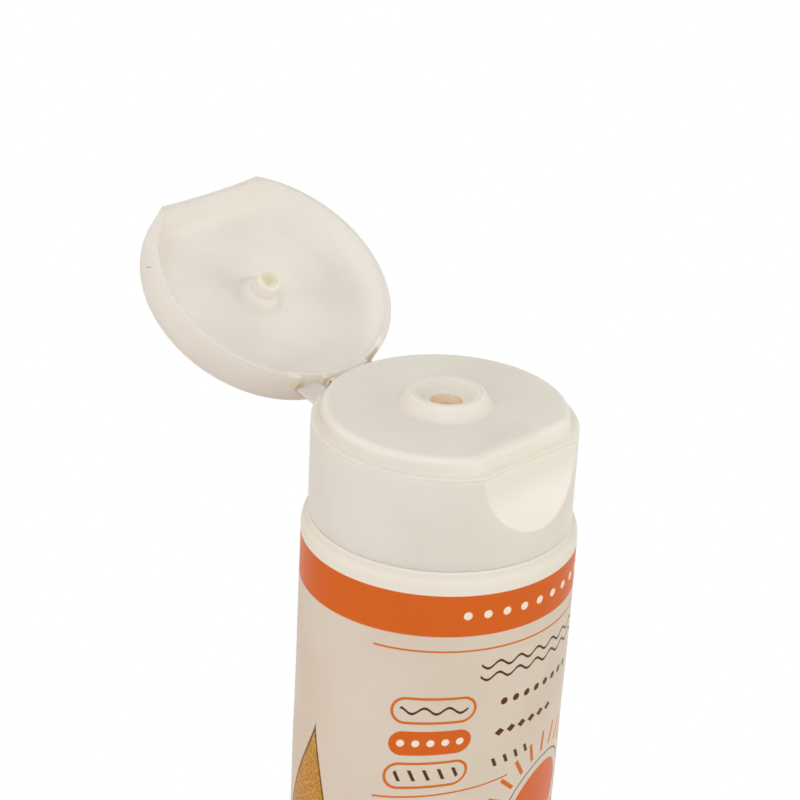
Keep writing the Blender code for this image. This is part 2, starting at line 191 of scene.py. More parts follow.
# Distance from the axis to the barrel that cuts the scoop. The barrel lies across the front at the ledge's
# height: its near side is at chord + R - sqrt(Rx^2 - rise^2), with Rx = R - x^2 / 2P.
def scoopReach(turns, height):
    facing = np.maximum(np.cos(turns), closure["leastFacing"])
    reach = scoopChord / facing
    for _ in range(refinements):
        girth = closure["scoopRadius"] - (reach * np.sin(turns)) ** 2 / (2 * closure["scoopPlanRadius"])
        depth = np.sqrt(np.maximum(girth**2 - (height - ledge) ** 2, 0))
        reach = (scoopChord + closure["scoopRadius"] - depth) / facing
    return reach


# Distance from the axis to a circle cut by a straight front chord, whose two corners are rounded
def chordReach(turns, radius, chord, corner):
    side = np.abs((turns + math.pi) % (2 * math.pi) - math.pi)
    ahead = chord - corner
    across = math.sqrt(max((radius - corner) ** 2 - ahead**2, 0))
    towards = across * np.sin(side) + ahead * np.cos(side)
    bend = towards + np.sqrt(np.maximum(corner**2 - across**2 - ahead**2 + towards**2, 0))
    flat = chord / np.maximum(np.cos(side), closure["leastFacing"])
    rounded = np.where(side < math.atan2(across, ahead), bend, radius)
    return np.where(side < math.atan2(across, chord), flat, rounded)


# Bisects a rising function of height for its zero, column by column
def crossing(function, low, high):
    for _ in range(bisections):
        middle = (low + high) / 2
        above = function(middle) > 0
        low = np.where(above, low, middle)
        high = np.where(above, middle, high)
    return (low + high) / 2


turns = closureTurns()

capShape = {
    "draft": 0.09 * mm,
    "wall": 1.1 * mm,
    "footSlope": 0.82 * mm,
    "footEdge": 0.06 * mm,
    "footDrop": 0.62 * mm,
    "hollowEdge": 0.1 * mm,
    "hollowRows": 10,
    "skirtRows": 7,
    "scoopRows": 22,
    "ledgeEdge": 0.32 * mm,
    "deckEdge": 0.9 * mm,
    "deckRows": 10,
    "deckCorner": 2.2 * mm,
    "deckRoot": 0.6 * mm,
    "deckShares": (0.04, 0.3, 0.6, 0.9),
    "plate": 1.2 * mm,
    "nozzleRise": 1.9 * mm,
    "nozzleFoot": 1.15 * mm,
    "nozzleRoot": 1.0 * mm,
    "rimRadius": 4.78 * mm,
    "rimWidth": 0.75 * mm,
    "rimEdges": (0.6 * mm, 0.15 * mm, 0.24 * mm),
    "rimGroove": 0.07 * mm,
    "dishDepth": 1.0 * mm,
    "dishFloor": 2.7 * mm,
    "dishEdge": 0.5 * mm,
    "bore": 2.0 * mm,
    "boreDrop": 0.25 * mm,
    "boreEdges": (0.25 * mm, 0.1 * mm),
    "neck": 7.0 * mm,
    "neckWall": 1.8 * mm,
    "groove": 0.8 * mm,
    "grooveHalf": 1.1 * mm,
    "beadDrop": 3.3 * mm,
    "socketWall": 1.3 * mm,
    "socketFoot": 2.0 * mm,
    "sealWall": 1.0 * mm,
    "sealDepth": 2.5 * mm,
    "sealEdge": 0.15 * mm,
}


# Radius of the skirt, which tapers a little towards its foot
def skirtRadius(height):
    return capRadius - capShape["draft"] * (1 - height / ledge)


# Under the plate: from the bore over the seal ring, the neck's socket with its groove and the recess of the
# deck, and down the hollow behind the skirt
def underStations():
    shape = capShape
    gap = closure["gap"]
    under = deckTop - shape["plate"]
    step = ledge - shape["plate"]
    seal = shape["neck"] - shape["neckWall"] - gap
    sealFoot = under - shape["sealDepth"]
    socket = shape["neck"] + gap
    grooved = shape["neck"] + shape["groove"]
    bead = under - shape["beadDrop"]
    recessRadius = lidInnerRadius - gap - shape["wall"]
    recess = chordReach(turns, recessRadius, lidInnerChord - gap - shape["wall"], shape["deckCorner"])
    stations = [
        (shape["bore"], under, shape["boreEdges"][1]),
        (seal - shape["sealWall"], under, 0),
        (seal - shape["sealWall"], sealFoot, shape["sealEdge"]),
        (seal, sealFoot, shape["sealEdge"]),
        (seal, under, 0),
        (socket, under, 0),
        (socket, bead + shape["grooveHalf"], 0),
        (grooved, bead, 0),
        (socket, bead - shape["grooveHalf"], 0),
        (socket, shape["socketFoot"], 0),
        (grooved + shape["socketWall"], shape["socketFoot"], 0),
        (grooved + shape["socketWall"], under, 0),
        (recess, under, 0),
        (recess, step, 0),
    ]
    hollow = capRadius - shape["draft"] - shape["wall"]
    for height in np.linspace(step, shape["footSlope"], shape["hollowRows"])[:-1]:
        behind = scoopReach(turns, height) - shape["wall"]
        stations.append((np.minimum(hollow, behind), height, 0))
    stations.append((hollow, shape["footSlope"], shape["hollowEdge"]))
    return stations


# Up the skirt to where the scoop's barrel cuts it, and along the scoop to the ledge
def skirtStations():
    shape = capShape
    low, high = np.zeros_like(turns), np.full_like(turns, ledge)
    split = crossing(lambda z: skirtRadius(z) - scoopReach(turns, z), low, high)
    split = np.minimum(split, ledge - shape["ledgeEdge"])
    stations = [(capRadius - shape["draft"], -shape["footDrop"], shape["footEdge"])]
    for share in np.linspace(0, 1, shape["skirtRows"] + 2)[1:-1]:
        stations.append((skirtRadius(split * share), split * share, 0))
    stations.append((skirtRadius(split), split, closure["scoopEdge"]))
    for share in np.linspace(0, 1, shape["scoopRows"] + 2)[1:-1]:
        height = split + (ledge - split) * share
        stations.append((np.minimum(skirtRadius(height), scoopReach(turns, height)), height, 0))
    stations.append((np.minimum(capRadius, scoopReach(turns, ledge)), ledge, shape["ledgeEdge"]))
    return stations


# Up the deck's round edge and over the deck, up the nozzle, round its rim and through its dish to the bore
def deckStations():
    shape = capShape
    deckRadius = lidInnerRadius - closure["gap"]
    deckChord = lidInnerChord - closure["gap"]
    corner = shape["deckCorner"]
    stations = [(chordReach(turns, deckRadius, deckChord, corner), ledge, shape["deckRoot"])]
    for lean in np.linspace(0, math.pi / 2, shape["deckRows"]):
        inset = shape["deckEdge"] * (1 - math.cos(lean))
        height = deckTop - shape["deckEdge"] * (1 - math.sin(lean))
        stations.append((chordReach(turns, deckRadius - inset, deckChord - inset, corner), height, 0))
    inner = stations[-1][0]
    foot = shape["rimRadius"] + shape["nozzleFoot"]
    for share in shape["deckShares"]:
        stations.append((inner + (foot - inner) * share, deckTop, 0))
    rimTop = deckTop + shape["nozzleRise"]
    rimInside = shape["rimRadius"] - shape["rimWidth"]
    rimMiddle = (shape["rimRadius"] + rimInside) / 2
    floor = rimTop - shape["dishDepth"]
    outerEdge, grooveEdge, innerEdge = shape["rimEdges"]
    return stations + [
        (foot, deckTop, shape["nozzleRoot"]),
        (shape["rimRadius"], rimTop, outerEdge),
        (rimMiddle, rimTop - shape["rimGroove"], grooveEdge),
        (rimInside, rimTop, innerEdge),
        (shape["dishFloor"], floor, shape["dishEdge"]),
        (shape["bore"], floor - shape["boreDrop"], shape["boreEdges"][0]),
    ]


# The cap is one skin that runs round its wall and closes in the bore, each radius a function of the angle
def makeCap():
    rows = softRows(underStations() + skirtStations() + deckStations(), len(turns), wrapRows=True)
    points = spun(rows, turns)
    points[..., 2] += capFoot
    return gridSkin("capBody", points, wrapRows=True)


lidShape = {
    "rise": 6.52 * mm,
    "edge": 2.65 * mm,
    "depth": 4.9 * mm,
    "bowl": 4.1 * mm,
    "corner": 3.4 * mm,
    "rimEdge": 0.4 * mm,
    "boss": 3.1 * mm,
    "bossRise": 1.3 * mm,
    "bossFlare": 1.1 * mm,
    "plug": 1.6 * mm,
    "plugWall": 0.6 * mm,
    "plugReach": 1.2 * mm,
    "plugHollow": 0.2 * mm,
    "plugLip": 0.08 * mm,
    "plugEdges": (0.55 * mm, 0.4 * mm, 0.8 * mm, 0.3 * mm),
    "topShares": (0.35, 0.7, 0.93),
    "ceilingShares": (0.05, 0.35, 0.65, 0.9),
    "wallRows": 20,
    "scoopRows": 20,
    "bowlRows": 14,
}
lidRim = ledge + closure["gap"]
lidTop = lidRim + lidShape["rise"]


# Turns points of the closed lid about the hinge line into the open place that they have at rest
def opened(points):
    y = points[..., 1] - hingeY
    z = points[..., 2] - hingeZ
    cosine = math.cos(openAngle)
    sine = -math.sin(openAngle)
    turned = [points[..., 0], y * cosine - z * sine + hingeY, y * sine + z * cosine + hingeZ + capFoot]
    return np.stack(turned, -1)


# Radius of the lid's outside at a height, up its straight wall and round its top edge
def lidRadius(height):
    edge = lidShape["edge"]
    over = np.clip((height - (lidTop - edge)) / edge, 0, 1)
    return capRadius - edge + edge * np.sqrt(1 - over**2)


# Radius and height some share of the way from a height on the lid's wall to the end of its round top edge
def lidOutside(start, share):
    edge = lidShape["edge"]
    bend = lidTop - edge
    straight = np.maximum(bend - start, 0)
    lean = np.arcsin(np.clip((start - bend) / edge, 0, 1))
    walked = (straight + edge * (math.pi / 2 - lean)) * share
    angle = lean + np.maximum(walked - straight, 0) / edge
    radius = capRadius - edge + edge * np.cos(angle)
    return radius, np.where(walked < straight, start + walked, bend + edge * np.sin(angle))


# From the middle of the lid's top, down its outside and along the scoop to the rim
def lidOuterStations():
    shape = lidShape
    low, high = np.full_like(turns, lidRim), np.full_like(turns, lidTop)
    start = crossing(lambda z: scoopReach(turns, z) - lidRadius(z), low, high)
    start = np.where(scoopReach(turns, lidRim) > capRadius, lidRim, start)
    start = np.maximum(start, lidRim + closure["scoopEdge"])
    stations = [(0, lidTop, 0)]
    for share in shape["topShares"]:
        stations.append(((capRadius - shape["edge"]) * share, lidTop, 0))
    for share in np.linspace(1, 0, shape["wallRows"])[:-1]:
        stations.append((*lidOutside(start, share), 0))
    stations.append((lidRadius(start), start, closure["scoopEdge"]))
    for share in np.linspace(1, 0, shape["scoopRows"] + 2)[1:-1]:
        height = lidRim + (start - lidRim) * share
        stations.append((np.minimum(lidRadius(height), scoopReach(turns, height)), height, 0))
    stations.append((np.minimum(capRadius, scoopReach(turns, lidRim)), lidRim, shape["rimEdge"]))
    return stations


# From the rim, up the bowl and over the ceiling, and round the boss and the plug to the plug's middle
def lidInnerStations():
    shape = lidShape
    corner = shape["corner"]
    stations = [(chordReach(turns, lidInnerRadius, lidInnerChord, corner), lidRim, shape["rimEdge"])]
    ceiling = lidRim + shape["depth"]
    for lean in np.linspace(0, math.pi / 2, shape["bowlRows"]):
        inset = shape["bowl"] * (1 - math.cos(lean))
        height = ceiling - shape["bowl"] * (1 - math.sin(lean))
        stations.append((chordReach(turns, lidInnerRadius - inset, lidInnerChord - inset, corner), height, 0))
    inner = stations[-1][0]
    for share in shape["ceilingShares"]:
        stations.append((inner + (shape["boss"] - inner) * share, ceiling, 0))
    plug = shape["plug"]
    wall = shape["plugWall"]
    bossTop = ceiling - shape["bossRise"]
    tip = lidRim + shape["plugReach"]
    topEdge, rootEdge, tipEdge, lipEdge = shape["plugEdges"]
    return stations + [
        (shape["boss"], ceiling, shape["bossFlare"]),
        (plug + wall, bossTop, topEdge),
        (plug, bossTop - wall / 2, rootEdge),
        (plug, tip, tipEdge),
        (plug - wall, tip + shape["plugLip"], lipEdge),
        (0, tip + shape["plugHollow"], 0),
    ]


# The lid is one skin from the middle of its top, down its outside, round the rim and up its inside
def makeLid():
    rows = softRows(lidOuterStations() + lidInnerStations(), len(turns))
    return gridSkin("flipLid", opened(spun(rows, turns)))


strapShape = {
    "inner": 4.0 * mm,
    "outer": 6.8 * mm,
    "thickness": 0.38 * mm,
    "neck": 0.24 * mm,
    "neckRun": 0.55 * mm,
    "sideEdge": 0.16 * mm,
    "sideRows": 6,
    "rows": 22,
    "endRows": 2,  # of the rows at each end, those that its round edge takes up
    "aroundRows": 24,
    "pocketGap": 0.07 * mm,
    "overrun": 1.0 * mm,
    "sharp": 32 * degree,
}


# One strap's plane in the closed cap, read from its joint: the point where its folds meet, the directions
# along the strap and out of the cap, how fast its half height grows along it, and where it starts and ends
def strapPlane(side):
    joint = joints["right_strap_fold" if side > 0 else "left_strap_fold"]
    axis = Vector(joint["axis"])
    slope = abs(axis.y / axis.x)
    run = math.sqrt(1 + slope**2)
    apex = np.array(Vector(joint["pos_m"]) - Vector((0, 0, capFoot)))
    ratio = frame["record"]["behaviour"]["couplings"][0]["ratio"]
    return {
        "apex": apex,
        "along": np.array(Vector((side, -slope, 0)).normalized()),
        "outward": np.array(Vector((side * slope, 1, 0)).normalized()),
        "steep": abs(axis.z / axis.x) / run,
        "start": (strapShape["inner"] - abs(apex[0])) * run,
        "end": (strapShape["outer"] - abs(apex[0])) * run,
        "turn": np.array(Matrix.Rotation(-openAngle * ratio, 3, axis)),
    }


# A strap is a stadium-shaped section carried along its plane. Its half height grows with the distance
# from the apex, it thins beside its two round fold beads, and its ends round off to an edge.
def makeStrap(side, name):
    shape = strapShape
    plane = strapPlane(side)
    start, end = plane["start"], plane["end"]
    lean = np.linspace(0, math.pi / 2, shape["sideRows"])
    ease = shape["sideEdge"] * (1 - np.cos(lean))
    plain = np.linspace(start, end, shape["rows"])[shape["endRows"]:-shape["endRows"]]
    places = np.concatenate([start + ease, plain, end - ease[::-1]])
    swell = np.concatenate([np.sin(lean), np.ones_like(plain), np.sin(lean[::-1])])
    half = shape["thickness"] / 2
    rise = (places * plane["steep"])[:, None]
    height = rise * np.linspace(-1, 1, shape["aroundRows"])
    near = rise - np.abs(height)
    past = np.clip((near - half) / shape["neckRun"], 0, 1)
    web = shape["neck"] / 2 + (half - shape["neck"] / 2) * (1 - np.sin(past * math.pi) * (past < 1))
    bead = np.sqrt(np.maximum(half**2 - (half - near) ** 2, 0))
    thin = np.where(near < half, bead, web) * swell[:, None]
    front = np.stack([height, thin], -1)
    rearward = np.stack([height, -thin], -1)[:, ::-1][:, 1:-1]
    section = np.concatenate([front, rearward], 1)
    points = plane["apex"] + places[:, None, None] * plane["along"]
    points = points + section[..., 1:] * plane["outward"] + section[..., :1] * np.array((0, 0, 1))
    points = (points - plane["apex"]) @ plane["turn"].T + plane["apex"] + np.array((0, 0, capFoot))
    return gridSkin(name, points)


# The seat of a strap in the closed cap, as a wedge with flat sides that the Boolean takes away
def strapSeat(side):
    plane = strapPlane(side)
    grow = strapShape["pocketGap"]
    start, end = plane["start"] - grow, plane["end"] + grow
    spare = grow * math.sqrt(1 + plane["steep"] ** 2)
    inside = strapShape["thickness"] / 2 + grow
    rows = []
    for depth in (-inside, inside + strapShape["overrun"]):
        ring = []
        for place, up in ((start, -1), (end, -1), (end, 1), (start, 1)):
            spot = plane["apex"] + place * plane["along"] + depth * plane["outward"]
            ring.append(spot + np.array((0, 0, up * (place * plane["steep"] + spare))))
        rows.append(ring)
    rows = np.array(rows)
    middle = rows.mean(1, keepdims=True)
    return np.concatenate([middle[:1].repeat(4, 1), rows, middle[1:].repeat(4, 1)])


# Cuts seats out of a finished piece and keeps the cut's edges sharp
def cutSeats(piece, seats):
    for number, seat in enumerate(seats):
        tool = gridSkin(piece.name + "Seat" + str(number), seat)
        step = piece.modifiers.new(tool.name, "BOOLEAN")
        step.operation = "DIFFERENCE"
        step.solver = "EXACT"
        step.object = tool
        state = bpy.context.evaluated_depsgraph_get()
        cut = bpy.data.meshes.new_from_object(piece.evaluated_get(state))
        piece.modifiers.clear()
        piece.data = cut
        bpy.data.objects.remove(tool)
    piece.data.shade_smooth()
    piece.data.set_sharp_from_angle(angle=strapShape["sharp"])


filmShape = {
    "halfWidth": 3.3 * mm,
    "thickness": 0.3 * mm,
    "rise": 0.4 * mm,
    "leg": 1.1 * mm,
    "root": 0.35 * mm,
    "middle": 0.22 * mm,
    "heavyFrom": 0.25,
    "heavyRun": 0.35,
    "sideEdge": 0.14 * mm,
    "sideRows": 9,
    "legRows": 8,
    "rows": 41,
    "sharp": 50 * degree,
}


# The film's middle line as (y, z) from the hinge: a leg on the cap's back, a Bezier curve out to the hinge,
# and the same mirrored on the lid. It also gives the two ends of the curve.
def filmPath():
    shape = filmShape
    legY = hingeY - capRadius + shape["thickness"] / 2
    foot = np.array((-legY, -(shape["rise"] + shape["leg"])))
    bend = np.array((-legY, -shape["rise"]))
    pull = np.array((-legY, shape["thickness"] / 4))
    axis = np.array((math.cos(openAngle / 2), -math.sin(openAngle / 2)))
    pullOver, bendOver, footOver = [2 * (point @ axis) * axis - point for point in (pull, bend, foot)]
    t = np.linspace(0, 1, shape["rows"])[:, None]
    curve = (1 - t) ** 3 * bend + 3 * t * (1 - t) ** 2 * pull
    curve = curve + 3 * t**2 * (1 - t) * pullOver + t**3 * bendOver
    legs = np.linspace(0, 1, shape["legRows"])[:-1, None]
    legOver = bendOver + (footOver - bendOver) * (1 - legs[::-1])
    return np.concatenate([foot + (bend - foot) * legs, curve, legOver]), bend, bendOver


# The centre film is a flat section carried along its path, thick at the legs and thin between them
def makeFilm():
    shape = filmShape
    path, bend, bendOver = filmPath()
    steps = np.gradient(path, axis=0)
    steps /= np.hypot(*steps.T)[:, None]
    normal = np.stack([-steps[:, 1], steps[:, 0]], -1)
    walked = np.concatenate([[0], np.cumsum(np.hypot(*np.diff(path, axis=0).T))])
    centred = np.abs(walked / walked[-1] - 0.5) * 2
    heavy = np.clip((centred - shape["heavyFrom"]) / shape["heavyRun"], 0, 1)
    heavy = heavy * heavy * (3 - 2 * heavy)
    outer = shape["middle"] / 2 + (shape["thickness"] - shape["middle"]) / 2 * heavy
    inner = shape["middle"] / 2 + (shape["root"] - shape["middle"] / 2) * heavy
    lean = np.linspace(-math.pi / 2, math.pi / 2, shape["sideRows"])
    edgeX = shape["halfWidth"] - shape["sideEdge"] * (1 - np.cos(lean))
    across = np.concatenate([edgeX, -edgeX[::-1]])
    level = np.concatenate([np.sin(lean), np.sin(lean[::-1])])
    depth = np.where(level > 0, level * outer[:, None], level * inner[:, None])
    spot = path[:, None, :] + normal[:, None, :] * depth[..., None]
    x = np.broadcast_to(across, depth.shape)
    points = np.stack([x, spot[..., 0] + hingeY, spot[..., 1] + hingePlace.z], -1)
    closing = points.mean(1, keepdims=True).repeat(len(across), 1)
    piece = gridSkin("hingeFilm", np.concatenate([closing[:1], points, closing[-1:]]))
    piece.data.set_sharp_from_angle(angle=shape["sharp"])
    ends = [Vector((0, hingeY + end[0], hingePlace.z + end[1])) for end in (bend, bendOver)]
    return piece, *ends


sleeveShape = {
    "wall": 0.5 * mm,
    "shoulder": 3.0 * mm,
    "shoulderTop": 0.523 * mm,
    "shoulderRows": 14,
    "lip": 0.8 * mm,
    "flattenPower": 1.7,
    "lensPower": 4,
    "squarePower": 30,
    "squareEnd": 0.85,
    "digits": 12,  # of the cosine, because a power of a stray 1e-17 would leave the tail's corner open
    "girthSteps": 720,
    "columns": 560,
    "bodyRows": 84,
    "innerRows": 16,
    "slitShare": 0.995,
    "crimp": 7.0 * mm,
    "crimpRows": (0, 0.15, 0.9, 1.3, 1.8, 2.6, 3.5, 4.4, 5.2, 5.7, 6.1, 6.6),
    "ribs": 40,
    "ribDepth": 0.11 * mm,
    "ribMargin": 0.9 * mm,
    "ribRun": 0.4 * mm,
    "dent": 0.09 * mm,
    "dentWaves": ((3, 90, 0), (2, -170, 1)),
    "seamHalf": 1.1 * mm,
    "seamRun": 0.35 * mm,
    "seamRise": 0.07 * mm,
}
sleeveTop = capFoot + sleeveShape["shoulderTop"]
bodyTop = sleeveTop - sleeveShape["shoulder"]


# Half width that gives each outline of the tube the girth of its round shoulder. The outline flattens from
# a circle into a lens: x = a ((1 - lens) sin t + lens asin(sin t) 2 / pi), y = -b sign(cos t) |cos t|^power.
def bodyOutline(radius, halfDepth, share, t):
    lens = share[:, None] ** sleeveShape["lensPower"]
    power = 1 - sleeveShape["squareEnd"] * share[:, None] ** sleeveShape["squarePower"]
    depth = halfDepth[:, None]

    def spread(width, t):
        wave = (1 - lens) * np.sin(t) + lens * np.arcsin(np.sin(t)) * 2 / math.pi
        cosine = np.round(np.cos(t), sleeveShape["digits"])
        return width[:, None] * wave, -depth * np.sign(cosine) * np.abs(cosine) ** power

    dense = np.linspace(0, 2 * math.pi, sleeveShape["girthSteps"] + 1)

    def girthLeft(width):
        x, y = spread(width, dense)
        return np.hypot(np.diff(x, axis=1), np.diff(y, axis=1)).sum(1) - 2 * math.pi * radius

    return spread(crossing(girthLeft, halfDepth, np.full_like(halfDepth, math.pi * radius)), t)


# Rings of the tapering body, moved in by inset, from the shoulder (share 0) to the crimp (share 1)
def bodyRings(inset, share, t):
    roundRadius = tubeRadius - sleeveShape["wall"]
    halfDepth = roundRadius * (1 - share ** sleeveShape["flattenPower"]) + sleeveShape["wall"] - inset
    x, y = bodyOutline(tubeRadius - inset, halfDepth, share, t)
    z = bodyTop + (sleeveShape["crimp"] - bodyTop) * share
    return np.stack([x, y, np.broadcast_to(z[:, None], x.shape)], -1)


# Rings of a plain circle through (radius, height) pairs
def roundRings(pairs, t):
    radius, height = np.array(pairs).T[..., None]
    x = radius * np.sin(t)
    return np.stack([x, -radius * np.cos(t), np.broadcast_to(height, x.shape)], -1)


# Presses ribs into the crimp: they run along the tube, a whole number of them on each side of the middle
def ribbed(tail):
    shape = sleeveShape
    rib = 0.5 - 0.5 * np.cos(tail[..., 0] / tail[..., 0].max() * math.pi * shape["ribs"])
    height = tail[..., 2]
    window = np.clip((height - shape["ribMargin"]) / shape["ribRun"], 0, 1)
    window *= np.clip((shape["crimp"] - shape["ribMargin"] - height) / shape["ribRun"], 0, 1)
    depth = np.abs(tail[..., 1])
    tail[..., 1] = np.sign(tail[..., 1]) * np.maximum(depth - shape["ribDepth"] * rib * window, 0)


# Dents the body softly and lifts the seam at its back, both fading towards the shoulder and the crimp
def worn(body, share, t):
    shape = sleeveShape
    middle = np.sin(share * math.pi)[:, None] ** 2
    dent = sum(np.sin(count * t + body[..., 2] * rate + start) for count, rate, start in shape["dentWaves"])
    seam = np.clip((shape["seamHalf"] - (math.pi - np.abs(t)) * tubeRadius) / shape["seamRun"], 0, 1)
    lift = -np.abs(dent) * shape["dent"] * middle + seam * shape["seamRise"] * np.minimum(middle * 4, 1)
    body[..., :2] *= 1 + (lift / np.hypot(body[..., 0], body[..., 1]))[..., None]


# Quarter circle of (radius, height) pairs round the shoulder's centre, from the side to the top
def shoulderArc(reach):
    centre = tubeRadius - sleeveShape["shoulder"]
    lean = np.linspace(0, math.pi / 2, sleeveShape["shoulderRows"])
    return [(centre + reach * math.cos(angle), bodyTop + reach * math.sin(angle)) for angle in lean]


# The ring pulled flat onto the middle plane, which closes the sleeve there
def flattened(ring):
    ring = ring.copy()
    ring[..., 1] = 0
    return ring


# The sleeve's outside runs from the tail's cut edge, over the ribbed crimp and the tapering body, to the
# shoulder's lip, and its inside runs back down to the slit above the crimp
def makeSleeve():
    shape = sleeveShape
    t = np.arange(shape["columns"]) * 2 * math.pi / shape["columns"] - math.pi
    share = np.sin(np.linspace(1, 0, shape["bodyRows"]) * math.pi / 2)
    body = bodyRings(0, share, t)
    heights = np.array(shape["crimpRows"]) * mm
    tail = np.repeat(body[:1], len(heights), 0)
    tail[..., 2] = heights[:, None]
    ribbed(tail)
    worn(body, share, t)
    lip = tubeRadius - shape["shoulder"] - shape["lip"]
    rim = [(lip, sleeveTop), (lip, sleeveTop - shape["wall"])]
    inner = shoulderArc(shape["shoulder"] - shape["wall"])[:0:-1]
    collar = roundRings(shoulderArc(shape["shoulder"])[1:] + rim + inner, t)
    within = bodyRings(shape["wall"], np.linspace(0, 1, shape["innerRows"]) * shape["slitShare"], t)
    points = np.concatenate([flattened(tail[:1]), tail, body, collar, within, flattened(within[-1:])])
    steps = np.linalg.norm(points - np.roll(points, -1, 1), axis=2)
    walked = np.cumsum(steps, 1)
    across = (walked - steps) / walked[:, -1:]
    return gridSkin("tubeSleeve", points, uv=(across, points[..., 2] / sleeveTop))


creamShape = {
    "gap": 0.3 * mm,
    "neck": 5.2 * mm,
    "headWall": 1.2 * mm,
    "headSkirt": 3.5 * mm,
    "bore": 1.97 * mm,
    "surface": 13.5 * mm,
    "dip": 0.3 * mm,
    "dipRows": 9,
    "bodyRows": 22,
    "headRows": 2,  # of the body's rows, those that the head's skirt takes up
    "columns": 96,
}


# The cream fills the sleeve, the neck and the bore, and its top sinks to the middle like a meniscus
def makeCream():
    shape = creamShape
    gap = shape["gap"]
    t = np.arange(shape["columns"]) * 2 * math.pi / shape["columns"] - math.pi
    under = capFoot + deckTop - capShape["plate"] - gap
    sealFoot = under - capShape["sealDepth"]
    bend = sleeveShape["shoulder"] - sleeveShape["wall"] - gap
    centre = tubeRadius - sleeveShape["shoulder"]
    side = centre + bend - shape["headWall"] - gap
    floor = bodyTop + bend - shape["headWall"] - gap
    throat = shape["neck"] - gap
    seal = shape["neck"] - gap - capShape["sealWall"] - gap
    surface = capFoot + shape["surface"]
    shares = np.linspace(0, 1, shape["dipRows"])
    dish = [(shape["bore"] * share, surface - shape["dip"] * (1 - share**2)) for share in shares]
    pairs = dish + [
        (shape["bore"], surface - shape["dip"]),
        (shape["bore"], under),
        (seal, under),
        (seal, sealFoot),
        (throat, sealFoot),
        (throat, floor),
        (centre - gap, floor),
        (side, bodyTop - gap),
        (side, bodyTop - shape["headSkirt"] - gap),
    ]
    share = np.linspace(0, 1, shape["bodyRows"]) * sleeveShape["slitShare"]
    body = bodyRings(sleeveShape["wall"] + gap, share, t)[shape["headRows"]:]
    return gridSkin("creamFill", np.concatenate([roundRings(pairs, t), body, flattened(body[-1:])]))


cap = makeCap()
cutSeats(cap, [strapSeat(side) + np.array((0, 0, capFoot)) for side in (-1, 1)])
print("cap", len(cap.data.polygons), "faces")
lid = makeLid()
cutSeats(lid, [opened(strapSeat(side)) for side in (-1, 1)])
print("lid", len(lid.data.polygons), "faces")
leftStrap = makeStrap(-1, "strapLeft")
rightStrap = makeStrap(1, "strapRight")
film, filmStart, filmEnd = makeFilm()
print("hinge made")
sleeve = makeSleeve()
cream = makeCream()
print("sleeve", len(sleeve.data.polygons), "faces")


# Linear colour from a display colour counted from 0 to 255, by the sRGB formula
def paint(red, green, blue):
    shares = [channel / 255 for channel in (red, green, blue)]
    linear = [share / 12.92 if share <= 0.04045 else ((share + 0.055) / 1.055) ** 2.4 for share in shares]
    return (*linear, 1)


# A value in a node tree; arithmetic on it adds Math nodes
class Value:
    def __init__(self, graph, socket):
        self.graph = graph
        self.socket = socket

    def math(self, operation, *others):
        inputs = {place: other for place, other in enumerate((self, *others))}
        return self.graph.node("ShaderNodeMath", {"operation": operation}, inputs)

    def __add__(self, other):
        return self.math("ADD", other)

    __radd__ = __add__

    def __sub__(self, other):
        return self.math("SUBTRACT", other)

    def __rsub__(self, other):
        return self.graph.node("ShaderNodeMath", {"operation": "SUBTRACT"}, {0: other, 1: self})

    def __mul__(self, other):
        return self.math("MULTIPLY", other)

    __rmul__ = __mul__

    def __truediv__(self, other):
        return self.math("DIVIDE", other)

    def __abs__(self):
        return self.math("ABSOLUTE")

    def least(self, other):
        return self.math("MINIMUM", other)

    def most(self, other):
        return self.math("MAXIMUM", other)


